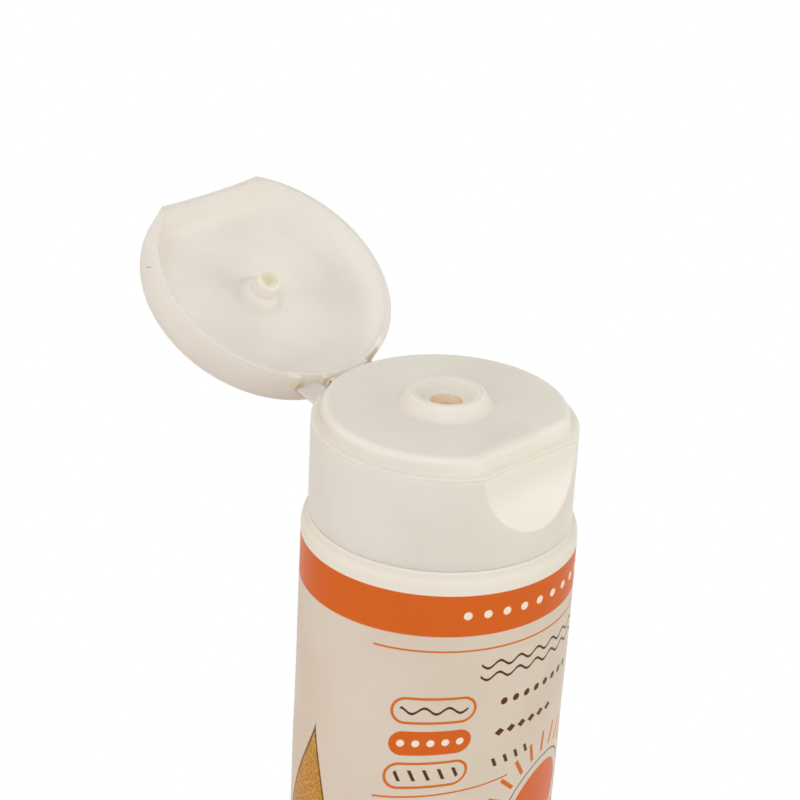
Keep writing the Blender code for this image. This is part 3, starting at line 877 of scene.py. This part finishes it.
# The nodes of a new material or world, with its main shader, whose fixed numbers are set on its own sockets
class Graph:
    def __init__(self, owner, shader, fixed):
        owner.use_nodes = True
        self.owner = owner
        self.tree = owner.node_tree
        self.shader = self.tree.nodes[shader]
        for socket, value in fixed.items():
            self.shader.inputs[socket].default_value = value

    def node(self, kind, settings, inputs, output=0):
        made = self.tree.nodes.new(kind)
        for setting, value in settings.items():
            setattr(made, setting, value)
        for place, value in inputs.items():
            if isinstance(value, Value):
                self.tree.links.new(value.socket, made.inputs[place])
            else:
                made.inputs[place].default_value = value
        return Value(self, made.outputs[output])

    def outputs(self, value, *names):
        sockets = value.socket.node.outputs
        return [Value(self, sockets[name]) for name in names]

    # A soft step from start to end, which falls where the end is the lower one. With a softness it is a
    # stretch instead, which rises at its start and falls at its end.
    def ramp(self, value, start, end, soft=None):
        if soft is not None:
            return self.ramp(value, start - soft, start + soft) * self.ramp(value, end + soft, end - soft)
        if start > end:
            return 1 - self.ramp(value, end, start)
        ends = {"Value": value, "From Min": start, "From Max": end}
        return self.node("ShaderNodeMapRange", {"interpolation_type": "SMOOTHSTEP"}, ends)

    def away(self, place, point):
        return self.node("ShaderNodeVectorMath", {"operation": "DISTANCE"}, {0: place, 1: point}, 1)

    def along(self, place, direction):
        return self.node("ShaderNodeVectorMath", {"operation": "DOT_PRODUCT"}, {0: place, 1: direction}, 1)

    def offset(self, place, point):
        return self.node("ShaderNodeVectorMath", {"operation": "SUBTRACT"}, {0: place, 1: point})

    def mix(self, factor, first, second):
        return self.node("ShaderNodeMix", {"data_type": "RGBA"}, {0: factor, 6: first, 7: second}, 2)

    def noise(self, place, texture):
        inputs = {"Vector": place, "Scale": texture["scale"], "Detail": texture["detail"]}
        return self.node("ShaderNodeTexNoise", {}, inputs)

    def objectPlace(self):
        return self.node("ShaderNodeTexCoord", {}, {}, "Object")

    def parts(self, place):
        return self.outputs(self.node("ShaderNodeSeparateXYZ", {}, {0: place}), "X", "Y", "Z")

    def feed(self, socket, value):
        self.tree.links.new(value.socket, self.shader.inputs[socket])

    def relief(self, height, distance):
        self.feed("Normal", self.node("ShaderNodeBump", {}, {"Height": height, "Distance": distance}))

    # One on rays from the camera, in a gloss or through something clear, which see white in place of the set
    def seen(self):
        path = self.node("ShaderNodeLightPath", {}, {})
        names = ("Is Camera Ray", "Is Glossy Ray", "Is Transmission Ray")
        camera, glossy, through = self.outputs(path, *names)
        return camera.most(glossy).most(through)

    # Lays plain white light over the main shader, as far as share says
    def whiten(self, kind, share, output):
        white = self.node(kind, {}, {"Color": (1, 1, 1, 1), "Strength": 1.0})
        lit = Value(self, self.shader.outputs[0])
        mixed = self.node("ShaderNodeMixShader", {}, {0: share, 1: lit, 2: white})
        self.tree.links.new(mixed.socket, self.tree.nodes[output].inputs[0])


def newMaterial(name, fixed):
    return Graph(bpy.data.materials.new(name), "Principled BSDF", fixed)


def radial(across, up):
    return (across * across + up * up).math("SQRT")


# Two tints to each piece, the share and depth of the light that seeps into it, the paints of the marks, among them
# painted light and shade, and textures whose gloss and height say how far they sway the roughness and the relief
plastic = {
    "cap": (paint(231, 225, 213), paint(226, 219, 206)),
    "lid": (paint(230, 224, 215), paint(225, 218, 209)),
    "hinge": (paint(218, 209, 202), paint(212, 203, 195)),
    "milk": {"cap": (0.7, 1.3 * mm), "lid": (0.85, 2.8 * mm), "hinge": (0.5, 0.8 * mm)},
    "milkTint": (1.0, 0.97, 0.92),
    # painted shade for the lid's outer wall
    "outside": paint(221, 213, 202),
    # painted light for the lid's inner wall
    "inside": paint(240, 236, 227),
    # painted light for the shaded strap seats at the hinge
    "pocketLight": paint(242, 235, 223),
    # painted light for the shaded crease at the skirt's foot
    "footCreaseLight": paint(252, 240, 217),
    # painted light for the lid's shaded crease at the hinge, tinted like dried cream
    "hingeCreaseLight": paint(234, 222, 199),
    # painted shade, darkening the cap ledge's lit round edge and the lid's rim
    "rim": paint(212, 204, 193),
    "stain": paint(229, 214, 160),
    "tip": paint(210, 198, 158),
    "peach": paint(250, 223, 186),
    # painted light: paler paint that brightens the cap's scoop, where the mark also makes it glossier
    "scoopLightAndPolish": paint(236, 228, 215),
    "rubbed": paint(240, 234, 220),
    "mark": paint(150, 104, 74),
    "gate": paint(240, 234, 224),
    "roughness": 0.42,
    "cloud": {"scale": 90.0, "detail": 4.0, "ends": (0.35, 0.7), "gloss": 0.16},
    "grain": {"scale": 2600.0, "detail": 2.0, "gloss": 0.1, "height": 0.25},
    "flow": {"scale": 700.0, "detail": 2.0, "height": 0.5},
    "relief": 0.03 * mm,
}

# Marks on the cap, in millimetres and laid one over the other. Along a field, two values are where a soft
# step starts and ends, rising or falling, and three are a stretch and how soft its ends are.
capMarks = [
    {"paint": "peach", "share": 1, "where": {"reach": (2.5, 1.9), "up": (15.1, 13.3)}},  # wet bore
    {
        "paint": "stain",  # dried line along the deck's foot
        "share": 0.4,
        "where": {
            "x": (-6.5, 6.5, 2.5),
            "y": (-13.75, -13, 0.2),
            "up": (11.9, 12.75, 0.15),
            "flow": (0.35, 0.6),
        },
    },
    # Paler front edges of the ledge and the deck
    {"paint": "rubbed", "share": 0.6, "where": {"y": (-9, -13.5), "up": (11.9, 13.7, 0.25)}},  # front edges
    # The scoop: painted light that makes it paler than the skirt, and a glossier finish
    {
        "paint": "scoopLightAndPolish",  # scoop
        "share": 1,
        "gloss": 0.12,
        "where": {"depth": (0.015, 0.07), "y": (-13.4, -13.6), "up": (12.15, 11.9)},
    },
    # Painted light at the skirt's foot, which pales the shaded crease against the shoulder
    {"paint": "footCreaseLight", "share": 0.85, "where": {"up": (0.25, -0.5)}},  # skirt's foot
    # Painted shade on the ledge's round edge, which damps its highlight, most at the front
    {"paint": "rim", "share": 0.65, "more": (-0.2, "y", -14.2, -12), "where": {"up": (11.84, 12.12, 0.05)}},
    # Painted light in the shaded strap seats at the cap's back
    {"paint": "pocketLight", "share": 0.8, "where": {"x": (-7.6, 7.6, 0.4), "y": (14.6, 15.4), "up": (8, 9.5)}},
    {"paint": "gate", "share": 0.8, "height": 2.5, "at": (0.65, -11.23, 118.37), "radii": (0.15, 0.5)},
    {"paint": "gate", "share": 0.8, "height": 2.5, "at": (-1.05, -11.61, 118.37), "radii": (0.126, 0.42)},
]

# Marks on the lid, likewise: painted light on the wall within, painted shade on the outside and on the lip,
# painted light in the shaded crease at the hinge with a tint of dried cream, a yellowed plug tip and a small brown
# scratch on the wall
plugTip = opened(np.array((0, 0, lidRim + lidShape["plugReach"]))) / mm
lidMarks = [
    # Painted light on the bowl's wall, brightest near the rim
    {"paint": "inside", "share": 0.65, "on": "within", "where": {"up": (4.6, 1.5)}},
    # Painted shade on the lid's outer wall
    {"paint": "outside", "share": 0.55, "on": "without"},
    # Painted shade on the lid's rim, away from the hinge
    {"paint": "rim", "share": 0.8, "on": "free", "where": {"up": (0.5, 0.1)}},
    # Painted light in the shaded crease at the hinge, tinted yellowish like dried cream
    {"paint": "hingeCreaseLight", "share": 0.45, "on": "hinged", "where": {"up": (3.2, 1.6)}},
    {"paint": "tip", "share": 0.45, "more": (0.3, "flow", 0.35, 0.65), "at": plugTip, "radii": (0.9, 2.2)},
    {"paint": "mark", "share": 0.45, "height": -2.0, "on": "scratch"},
]
lidFieldEnds = {"bowl": (16.5, 16.2), "chord": 0.4, "hinged": {"back": (12, 14.5), "x": (-8.4, 8.4, 0.8)}}
scratch = {
    "at": (-14.88 * mm, 38.81 * mm, 128.12 * mm),
    "half": (0.5, 0.1, 0.7),
    "directions": ((0.695, -0.718, 0.046), (0.277, 0.327, 0.904), (0.664, 0.615, -0.426)),
    "soft": 0.12,
}

# Spots of dried cream on each piece: the middle, the radius and the strength
driedCream = {
    "cap": [((-3.4, 16.6, 116.4), 1.1, 0.75), ((3.3, -14.05, 116.15), 1.1, 0.4)],
    "lid": [
        ((-3.4, 17.6, 117.0), 1.4, 0.9),
        ((-6.1, 19.6, 116.3), 1.3, 0.8),
        ((6.9, 19.7, 116.2), 0.8, 0.45),
    ],
    "hinge": [((-3.3, 17.1, 116.6), 1.3, 0.9), ((6.0, 18.0, 116.4), 0.8, 0.35)],
    "core": 0.25,
    "flow": (0.3, 0.62),
}


# The cap's fields in millimetres: up from the skirt's foot, reach from the axis and depth under the skirt
def capFields(graph, place):
    x, y, z = [axis / mm for axis in graph.parts(place)]
    up = z - capFoot / mm
    reach = radial(x, y)
    skirt = capRadius / mm - capShape["draft"] / mm * (1 - up / (ledge / mm))
    return {"x": x, "y": y, "up": up, "reach": reach, "depth": skirt - reach}


# The lid's fields and masks, in the closed lid's own directions: back from its middle and up from its rim
def lidFields(graph, place):
    middle = opened(np.zeros(3))
    offset = graph.offset(place, tuple(middle))
    x = graph.parts(offset)[0] / mm
    rearwards, upwards = [tuple(opened(np.array(axis)) - middle) for axis in ((0, 1.0, 0), (0, 0, 1.0))]
    back = graph.along(offset, rearwards) / mm
    up = graph.along(offset, upwards) / mm - lidRim / mm
    chord = lidInnerChord / mm
    within = graph.ramp(radial(x, back), *lidFieldEnds["bowl"])
    within = within * graph.ramp(back, -chord - lidFieldEnds["chord"], -chord)
    ends = lidFieldEnds["hinged"]
    hinged = graph.ramp(back, *ends["back"]) * graph.ramp(x, *ends["x"])
    offset = graph.offset(place, scratch["at"])
    sides = [
        graph.ramp(graph.along(offset, direction) / mm, -half, half, scratch["soft"])
        for half, direction in zip(scratch["half"], scratch["directions"])
    ]
    masks = {"within": within, "without": 1 - within, "hinged": hinged, "free": 1 - hinged}
    return {"up": up, "scratch": math.prod(sides), **masks}


# Lays marks over a piece's colour, roughness and relief. A mark lies where all of its masks do: the one named
# under "on", a spot that fades between its two radii round "at", and a ramp along each field under "where".
def layMarks(graph, place, fields, marks, colour, roughness, height):
    for mark in marks:
        masks = [graph.ramp(fields[name], *ends) for name, ends in mark.get("where", {}).items()]
        if "on" in mark:
            masks.append(fields[mark["on"]])
        if "at" in mark:
            inner, outer = mark["radii"]
            point = tuple(float(length) * mm for length in mark["at"])
            masks.append(graph.ramp(graph.away(place, point), outer * mm, inner * mm))
        mask = math.prod(masks)
        share = mark["share"]
        if "more" in mark:
            more, name, *ends = mark["more"]
            share = share + graph.ramp(fields[name], *ends) * more
        colour = graph.mix(mask * share, colour, plastic[mark["paint"]])
        if "gloss" in mark:
            roughness = roughness - mask * mark["gloss"]
        if "height" in mark:
            height = height + mask * mark["height"]
    return colour, roughness, height


# Moulded polypropylene: milky and satin, faintly cloudy, with fine flow texture, the piece's marks with painted
# light and shade among them, and dried cream in its corners
def mouldedPlastic(name, kind, marks=(), pieceFields=None):
    weight, depth = plastic["milk"][kind]
    fixed = {
        "Subsurface Weight": weight,
        "Subsurface Scale": depth,
        "Subsurface Radius": plastic["milkTint"],
        "IOR": 1.46,
        "Specular IOR Level": 0.4,
    }
    graph = newMaterial(name, fixed)
    place = graph.objectPlace()
    cloud, grain, flow = [graph.noise(place, plastic[texture]) for texture in ("cloud", "grain", "flow")]
    colour = graph.mix(graph.ramp(cloud, *plastic["cloud"]["ends"]), *plastic[kind])
    roughness = plastic["roughness"] + (cloud - 0.5) * plastic["cloud"]["gloss"]
    roughness = roughness + (grain - 0.5) * plastic["grain"]["gloss"]
    height = grain * plastic["grain"]["height"] + flow * plastic["flow"]["height"]
    spots = [
        {
            "paint": "stain",
            "share": strength,
            "at": centre,
            "radii": (radius * driedCream["core"], radius),
            "where": {"flow": driedCream["flow"]},
        }
        for centre, radius, strength in driedCream[kind]
    ]
    fields = {"flow": flow, **(pieceFields(graph, place) if pieceFields else {})}
    marked = layMarks(graph, place, fields, [*marks, *spots], colour, roughness, height)
    graph.feed("Base Color", marked[0])
    graph.feed("Roughness", marked[1])
    graph.relief(marked[2], plastic["relief"])
    return graph.owner


# The print, in millimetres on the sleeve's own map: s runs round from the front, h up from the tail
printShape = {
    "girth": 2 * math.pi * tubeRadius / mm,
    "height": sleeveTop / mm,
    "soft": 0.055,
    "band": (95.0, 100.7),
    "bandDots": {"from": -11.7, "to": 22.1, "height": 97.9, "pitch": 2.6, "radius": 0.55},
    "rules": [(92.9, -22, 22, 0.13), (71.9, -20, -1, 0.13)],
    "waves": [(90.4, -8, 19), (88.7, -8, 19)],
    "wave": {"pitch": 3.1, "swing": 0.42, "half": 0.19},
    "capsules": {
        "middle": -13.5,
        "halfWidth": 5.3,
        "halfHeight": 1.75,
        "heights": (84.4, 79.7, 75.0),
        "line": 0.19,
        "margin": 0.9,
        "dot": 0.5,
        "bar": (0.24, 0.8),
    },
    "legend": {
        "from": -4.95,
        "to": 10.25,
        "pitch": 1.9,
        "less": 3.8,
        "dot": 0.52,
        "diamond": 0.62,
        "narrow": 0.8,
        "bar": (0.28, 0.7),
        "slant": 0.5,
    },
    "sun": {
        "at": (7.5, 63.0),
        "disc": 6.6,
        "ring": 8.0,
        "line": 0.12,
        "rays": (9.2, 12.6),
        "count": 26,
        "width": 0.3,
    },
    "drop": {
        "middle": -29.6,
        "base": 61.0,
        "tip": 79.0,
        "radius": 4.7,
        "belly": 1.35,
        "power": 1.35,
        "join": 0.01,
        "edge": 0.16,
        "edgeShare": 0.7,
    },
    "panel": {
        "middle": 38,
        "centre": 58,
        "halfWidth": 10,
        "halfHeight": 29,
        "round": 2.5,
        "line": 0.16,
        "pitch": (1.6, 3.6),
        "dot": 0.36,
        "margin": 2.2,
    },
    "shore": {"height": 18.0, "swing": 1.3, "waves": 6, "line": (3.0, 0.16), "goldLine": (1.5, 0.4)},
    "speck": {"at": (-11.0, 95.9), "radii": (0.32, 0.15)},
}


# Helpers of the masks, which are one where ink lies. This one inks where a distance is below zero.
def inked(distance):
    return distance.graph.ramp(distance, printShape["soft"], -printShape["soft"])


def stroke(distance, half):
    return inked(abs(distance) - half)


def between(value, low, high):
    return value.graph.ramp(value, low, high, printShape["soft"])


def repeated(value, pitch):
    return value.math("WRAP", pitch / 2, -pitch / 2)


def boxEdge(across, up, halfWidth, halfHeight, corner):
    beyond = (abs(across) - (halfWidth - corner)).most(0)
    above = (abs(up) - (halfHeight - corner)).most(0)
    return radial(beyond, above) - corner


def crest(s):
    wave = printShape["wave"]
    return (s * (2 * math.pi / wave["pitch"])).math("SINE") * wave["swing"]


def inkBand(ink, s, h):
    dots = printShape["bandDots"]
    dot = radial(repeated(s, dots["pitch"]), h - dots["height"]) - dots["radius"]
    ink["orange"].append(between(h, *printShape["band"]))
    ink["pale"].append(inked(dot) * between(s, dots["from"], dots["to"]))


def inkLines(ink, s, h):
    for height, start, end, half in printShape["rules"]:
        ink["line"].append(between(h, height - half, height + half) * between(s, start, end))
    for height, start, end in printShape["waves"]:
        line = stroke(h - height - crest(s), printShape["wave"]["half"])
        ink["brown"].append(line * between(s, start, end))


# Three capsules above each other, each beside a row of small marks: dots, diamonds and slanting bars
def inkCapsules(ink, s, h):
    capsules = printShape["capsules"]
    legend = printShape["legend"]
    half = capsules["halfHeight"]
    across = s - capsules["middle"]
    mark = repeated(across, legend["pitch"])
    for number, height in enumerate(capsules["heights"]):
        up = h - height
        edge = boxEdge(across, up, capsules["halfWidth"], half, half)
        window = inked(edge + capsules["margin"])
        row = between(s, legend["from"], legend["to"] - legend["less"] * number)
        if number == 1:
            ink["orange"].append(inked(edge))
            ink["pale"].append(inked(radial(mark, up) - capsules["dot"]) * window)
            diamond = abs(mark) * legend["narrow"] + abs(up) - legend["diamond"]
            ink["brown"].append(inked(diamond) * row)
            continue
        ink["line"].append(stroke(edge, capsules["line"]))
        if number == 0:
            ink["brown"].append(stroke(up - crest(s), printShape["wave"]["half"]) * window)
            ink["brown"].append(inked(radial(mark, up) - legend["dot"]) * row)
            continue
        for (barHalf, barRise), room in ((capsules["bar"], window), (legend["bar"], row)):
            bar = stroke(mark + up * legend["slant"], barHalf)
            ink["brown"].append(bar * room * between(up, -barRise, barRise))


# A disc in a thin ring, with rays that keep their width
def inkSun(ink, s, h):
    sun = printShape["sun"]
    east = s - sun["at"][0]
    north = h - sun["at"][1]
    reach = radial(east, north)
    turn = north.math("ARCTAN2", east) * (sun["count"] / (2 * math.pi))
    ray = abs(repeated(turn, 1)) * reach * (2 * math.pi / sun["count"]) - sun["width"]
    ink["orange"].append(inked(reach - sun["disc"]))
    ink["line"].append(inked(ray) * between(reach, *sun["rays"]))
    ink["brown"].append(stroke(reach - sun["ring"], sun["line"]))


def inkPanel(ink, s, h):
    panel = printShape["panel"]
    across = s - panel["middle"]
    edge = boxEdge(across, h - panel["centre"], panel["halfWidth"], panel["halfHeight"], panel["round"])
    dot = radial(repeated(across, panel["pitch"][0]), repeated(h, panel["pitch"][1])) - panel["dot"]
    ink["line"].append(stroke(edge, panel["line"]))
    ink["brown"].append(inked(dot) * inked(edge + panel["margin"]))


# An orange field below a long wave, with a gold and a thin brown line above it
def inkShore(ink, s, h):
    shore = printShape["shore"]
    around = s * (2 * math.pi * shore["waves"] / printShape["girth"])
    above = h - (around.math("SINE") * shore["swing"] + shore["height"])
    ink["orange"].append(inked(above))
    for name, line in (("gold", "goldLine"), ("brown", "line")):
        rise, half = shore[line]
        ink[name].append(stroke(above - rise, half))


# A gold drop with a brown edge: a round foot, and above it flanks that narrow to the tip
def inkDrop(ink, s, h):
    drop = printShape["drop"]
    away = abs(s - drop["middle"])
    share = ((h - drop["base"]) / (drop["tip"] - drop["base"])).least(1).most(0)
    flank = (1 - share).math("POWER", drop["power"]) * (1 + share * drop["belly"]) * drop["radius"]
    foot = radial(away, (drop["base"] - h).most(0)) - drop["radius"]
    above = h.graph.ramp(h, drop["base"] - drop["join"], drop["base"] + drop["join"])
    outline = foot + ((away - flank).most(h - drop["tip"]) - foot) * above
    ink["gold"].append(inked(outline))
    ink["brown"].append(stroke(outline + drop["edge"], drop["edge"]) * drop["edgeShare"])


# Two tints of paper and of gold, the inks, three rings under the cap with the heights over which they start (a
# paler top, painted shade on the shoulder and a thin painted highlight at the cap's foot), and textures as on the
# plastic
laminate = {
    "paper": (paint(220, 206, 188), paint(215, 199, 180)),
    "rings": [
        (printShape["band"], paint(233, 225, 209)),
        # painted shade on the shoulder just under the cap's foot
        ((printShape["height"] - 2.1, printShape["height"] - 1.3), paint(225, 215, 199)),
        # a thin painted highlight where the shoulder meets the cap's foot
        ((printShape["height"] - 1.3, printShape["height"] - 1.15), paint(229, 220, 205)),
    ],
    "gold": (paint(176, 120, 50), paint(206, 158, 84)),
    "orange": paint(212, 99, 34),
    "line": paint(209, 110, 28),
    "brown": paint(92, 52, 28),
    "pale": paint(242, 226, 206),
    "roughness": 0.4,
    "metallic": 0.55,
    "cloud": {"scale": 60.0, "detail": 3.0, "ends": (0.3, 0.7), "gloss": 0.1},
    "fine": {"scale": 1400.0, "detail": 2.0, "gloss": 0.08, "height": 0.06},
    "grain": {"scale": 3800.0, "detail": 2.0, "ends": (0.42, 0.62), "gloss": 0.3, "height": 0.15},
    "swell": {"scale": 140.0, "detail": 2.0, "height": 1.2},
    "ink": {"gloss": 0.06, "height": 0.12},
    "speckHeight": 0.9,
    "relief": 0.05 * mm,
}


# Printed laminate: warm paper, then each ink where the strongest of its masks lies, and gold as rough foil
def printedLaminate():
    shape = laminate
    graph = newMaterial("printedLaminate", {"IOR": 1.4, "Specular IOR Level": 0.1})
    across, along, _ = graph.parts(graph.node("ShaderNodeUVMap", {"uv_map": "sleeveMap"}, {}))
    s = (across - 0.5) * printShape["girth"]
    h = along * printShape["height"]
    ink = {name: [] for name in ("gold", "orange", "line", "brown", "pale")}
    for motif in (inkBand, inkLines, inkCapsules, inkSun, inkPanel, inkShore, inkDrop):
        motif(ink, s, h)
    place = graph.objectPlace()
    textures = ("cloud", "fine", "grain", "swell")
    cloud, fine, grain, swell = [graph.noise(place, shape[texture]) for texture in textures]
    colour = graph.mix(graph.ramp(cloud, *shape["cloud"]["ends"]), *shape["paper"])
    # A paler top above the band, then painted shade and a thin painted highlight on the shoulder under the cap
    for ends, tint in shape["rings"]:
        colour = graph.mix(graph.ramp(h, *ends), colour, tint)
    foil = graph.mix(graph.ramp(grain, *shape["grain"]["ends"]), *shape["gold"])
    mask = {}
    for name, masks in ink.items():
        mask[name] = functools.reduce(Value.most, masks)
        colour = graph.mix(mask[name], colour, foil if name == "gold" else shape[name])
    graph.feed("Base Color", colour)
    gold = mask["gold"]
    printed = mask["orange"].most(mask["brown"])
    roughness = shape["roughness"] + (cloud - 0.5) * shape["cloud"]["gloss"]
    roughness = roughness + (fine - 0.5) * shape["fine"]["gloss"] - printed * shape["ink"]["gloss"]
    graph.feed("Roughness", roughness + gold * (grain - 0.5) * shape["grain"]["gloss"])
    graph.feed("Metallic", gold * shape["metallic"])
    speck = printShape["speck"]
    dust = graph.ramp(radial(s - speck["at"][0], h - speck["at"][1]), *speck["radii"])
    height = swell * shape["swell"]["height"] + fine * shape["fine"]["height"]
    height = height + printed * shape["ink"]["height"] + gold * grain * shape["grain"]["height"]
    graph.relief(height + dust * shape["speckHeight"], shape["relief"])
    return graph.owner


creamLook = {
    "tints": (paint(248, 220, 182), paint(240, 208, 170)),
    "fixed": {"Subsurface Weight": 0.3, "Subsurface Scale": 2.0 * mm, "IOR": 1.4},
    "cloud": {"scale": 500.0, "detail": 3.0},
    "roughness": 0.25,
    "gloss": 0.15,
}
headLook = {
    "tints": (paint(232, 229, 222), paint(222, 218, 210)),
    "fixed": {"Subsurface Weight": 0.1, "Subsurface Scale": 2.0 * mm, "IOR": 1.49},
    "cloud": {"scale": 120.0, "detail": 3.0},
    "roughness": 0.45,
    "gloss": 0.1,
}


# A cloudy blend of two tints, as the cream and the tube's head have
def cloudy(name, look):
    graph = newMaterial(name, look["fixed"])
    cloud = graph.noise(graph.objectPlace(), look["cloud"])
    graph.feed("Base Color", graph.mix(cloud, *look["tints"]))
    graph.feed("Roughness", look["roughness"] + cloud * look["gloss"])
    return graph.owner


hingePlastic = mouldedPlastic("hingePlastic", "hinge")
for piece, look in (
    (cap, mouldedPlastic("capPlastic", "cap", capMarks, capFields)),
    (lid, mouldedPlastic("lidPlastic", "lid", lidMarks, lidFields)),
    (leftStrap, hingePlastic),
    (rightStrap, hingePlastic),
    (film, hingePlastic),
    (sleeve, printedLaminate()),
    (cream, cloudy("sunCream", creamLook)),
    (frame["nodes"]["tube_head"], cloudy("neckPlastic", headLook)),
):
    piece.data.materials.clear()
    piece.data.materials.append(look)
print("materials made")

# Every piece but the film rides on its body, and each stands for its imported node
for piece, body, node, slot in (
    (sleeve, "tube", "tube_sleeve", "tube_laminate"),
    (cap, "tube", "cap_body", "cap_plastic"),
    (cream, "tube", "sunscreen_fill", "sunscreen_cream"),
    (lid, "lid", "flip_lid", "cap_plastic"),
    (leftStrap, "left_strap", "hinge_strap_left", "cap_plastic"),
    (rightStrap, "right_strap", "hinge_strap_right", "cap_plastic"),
):
    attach(piece, body)
    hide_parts(node)
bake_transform(film)
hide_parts("hinge_film")


floorShape = {
    "half": 3.0,
    "plain": 0.045,
    "fade": 0.06,
    "near": paint(253, 253, 253),
    "far": paint(208, 206, 202),
    "veil": 0.35,
}


# A pale floor that takes the object's shadow. The eye sees it through a white veil that closes further off.
# To all other rays the far floor is darker, so that it throws less light back.
def makeFloor():
    half = floorShape["half"]
    mesh = bpy.data.meshes.new("floor")
    corners = [(-half, -half, 0), (half, -half, 0), (half, half, 0), (-half, half, 0)]
    mesh.from_pydata(corners, [], [(0, 1, 2, 3)])
    floor = bpy.data.objects.new("floor", mesh)
    bpy.context.scene.collection.objects.link(floor)
    graph = newMaterial("paleFloor", {"Roughness": 0.7})
    seen = graph.seen()
    reach = graph.away(graph.objectPlace(), (0, 0, 0))
    far = graph.ramp(reach, floorShape["plain"], floorShape["plain"] + floorShape["fade"])
    graph.feed("Base Color", graph.mix(far * (1 - seen), floorShape["near"], floorShape["far"]))
    veil = floorShape["veil"] + far * (1 - floorShape["veil"])
    graph.whiten("ShaderNodeEmission", veil * seen, "Material Output")
    mesh.materials.append(graph.owner)


lamps = {
    "key": {"at": (-0.465, -0.434, 0.756), "size": 0.6, "power": 3.3, "tint": (0.69, 0.785, 0.93)},
    "left": {"at": (-0.869, 0.0, 0.353), "size": 0.6, "power": 1.24, "tint": (0.97, 0.9, 0.965)},
    "behind": {"at": (-0.66, 0.6, 0.13), "size": 0.6, "power": 1.0, "tint": (1.0, 0.9, 0.94)},
    "right": {"at": (0.449, -0.778, 0.073), "size": 0.6, "power": 3.15, "tint": (0.92, 0.945, 0.93)},
}
lampAim = Vector((0, 0.01, 0.11))


def makeLamps():
    for name, lamp in lamps.items():
        light = bpy.data.lights.new(name, "AREA")
        light.shape = "DISK"
        light.size = lamp["size"]
        light.energy = lamp["power"]
        light.color = lamp["tint"]
        holder = bpy.data.objects.new(name, light)
        holder.location = lamp["at"]
        holder.rotation_euler = (lampAim - Vector(lamp["at"])).to_track_quat("-Z", "Y").to_euler()
        bpy.context.scene.collection.objects.link(holder)


world = {"Strength": 0.63, "Color": (1.0, 0.955, 0.885, 1)}


# The world lights the set softly and warmly, while the eye sees plain white
def makeWorld():
    graph = Graph(bpy.data.worlds.new("studio"), "Background", world)
    graph.whiten("ShaderNodeBackground", graph.seen(), "World Output")
    bpy.context.scene.world = graph.owner


# The photo's view, fitted to the round edges of the cap and the tube
view = {
    "at": (-0.269782, -0.241988, 0.289176),
    "right": (0.69454521, -0.71795751, 0.04630305),
    "up": (0.27734277, 0.32657218, 0.90356605),
    "forward": (0.66384332, 0.61472565, -0.42593947),
    "lens": 145.074,
    "sensor": 36.0,
    "nearest": 0.01,
}


def makeCamera():
    camera = bpy.data.cameras.new("photoView")
    camera.lens = view["lens"]
    camera.sensor_width = view["sensor"]
    camera.clip_start = view["nearest"]
    holder = bpy.data.objects.new("photoView", camera)
    axes = [Vector(view["right"]), Vector(view["up"]), -Vector(view["forward"])]
    holder.matrix_world = Matrix.Translation(view["at"]) @ Matrix(axes).transposed().to_4x4()
    bpy.context.scene.collection.objects.link(holder)
    bpy.context.scene.camera = holder


makeFloor()
makeLamps()
makeWorld()
makeCamera()
bpy.context.scene.view_settings.view_transform = "Standard"
print("stage made")
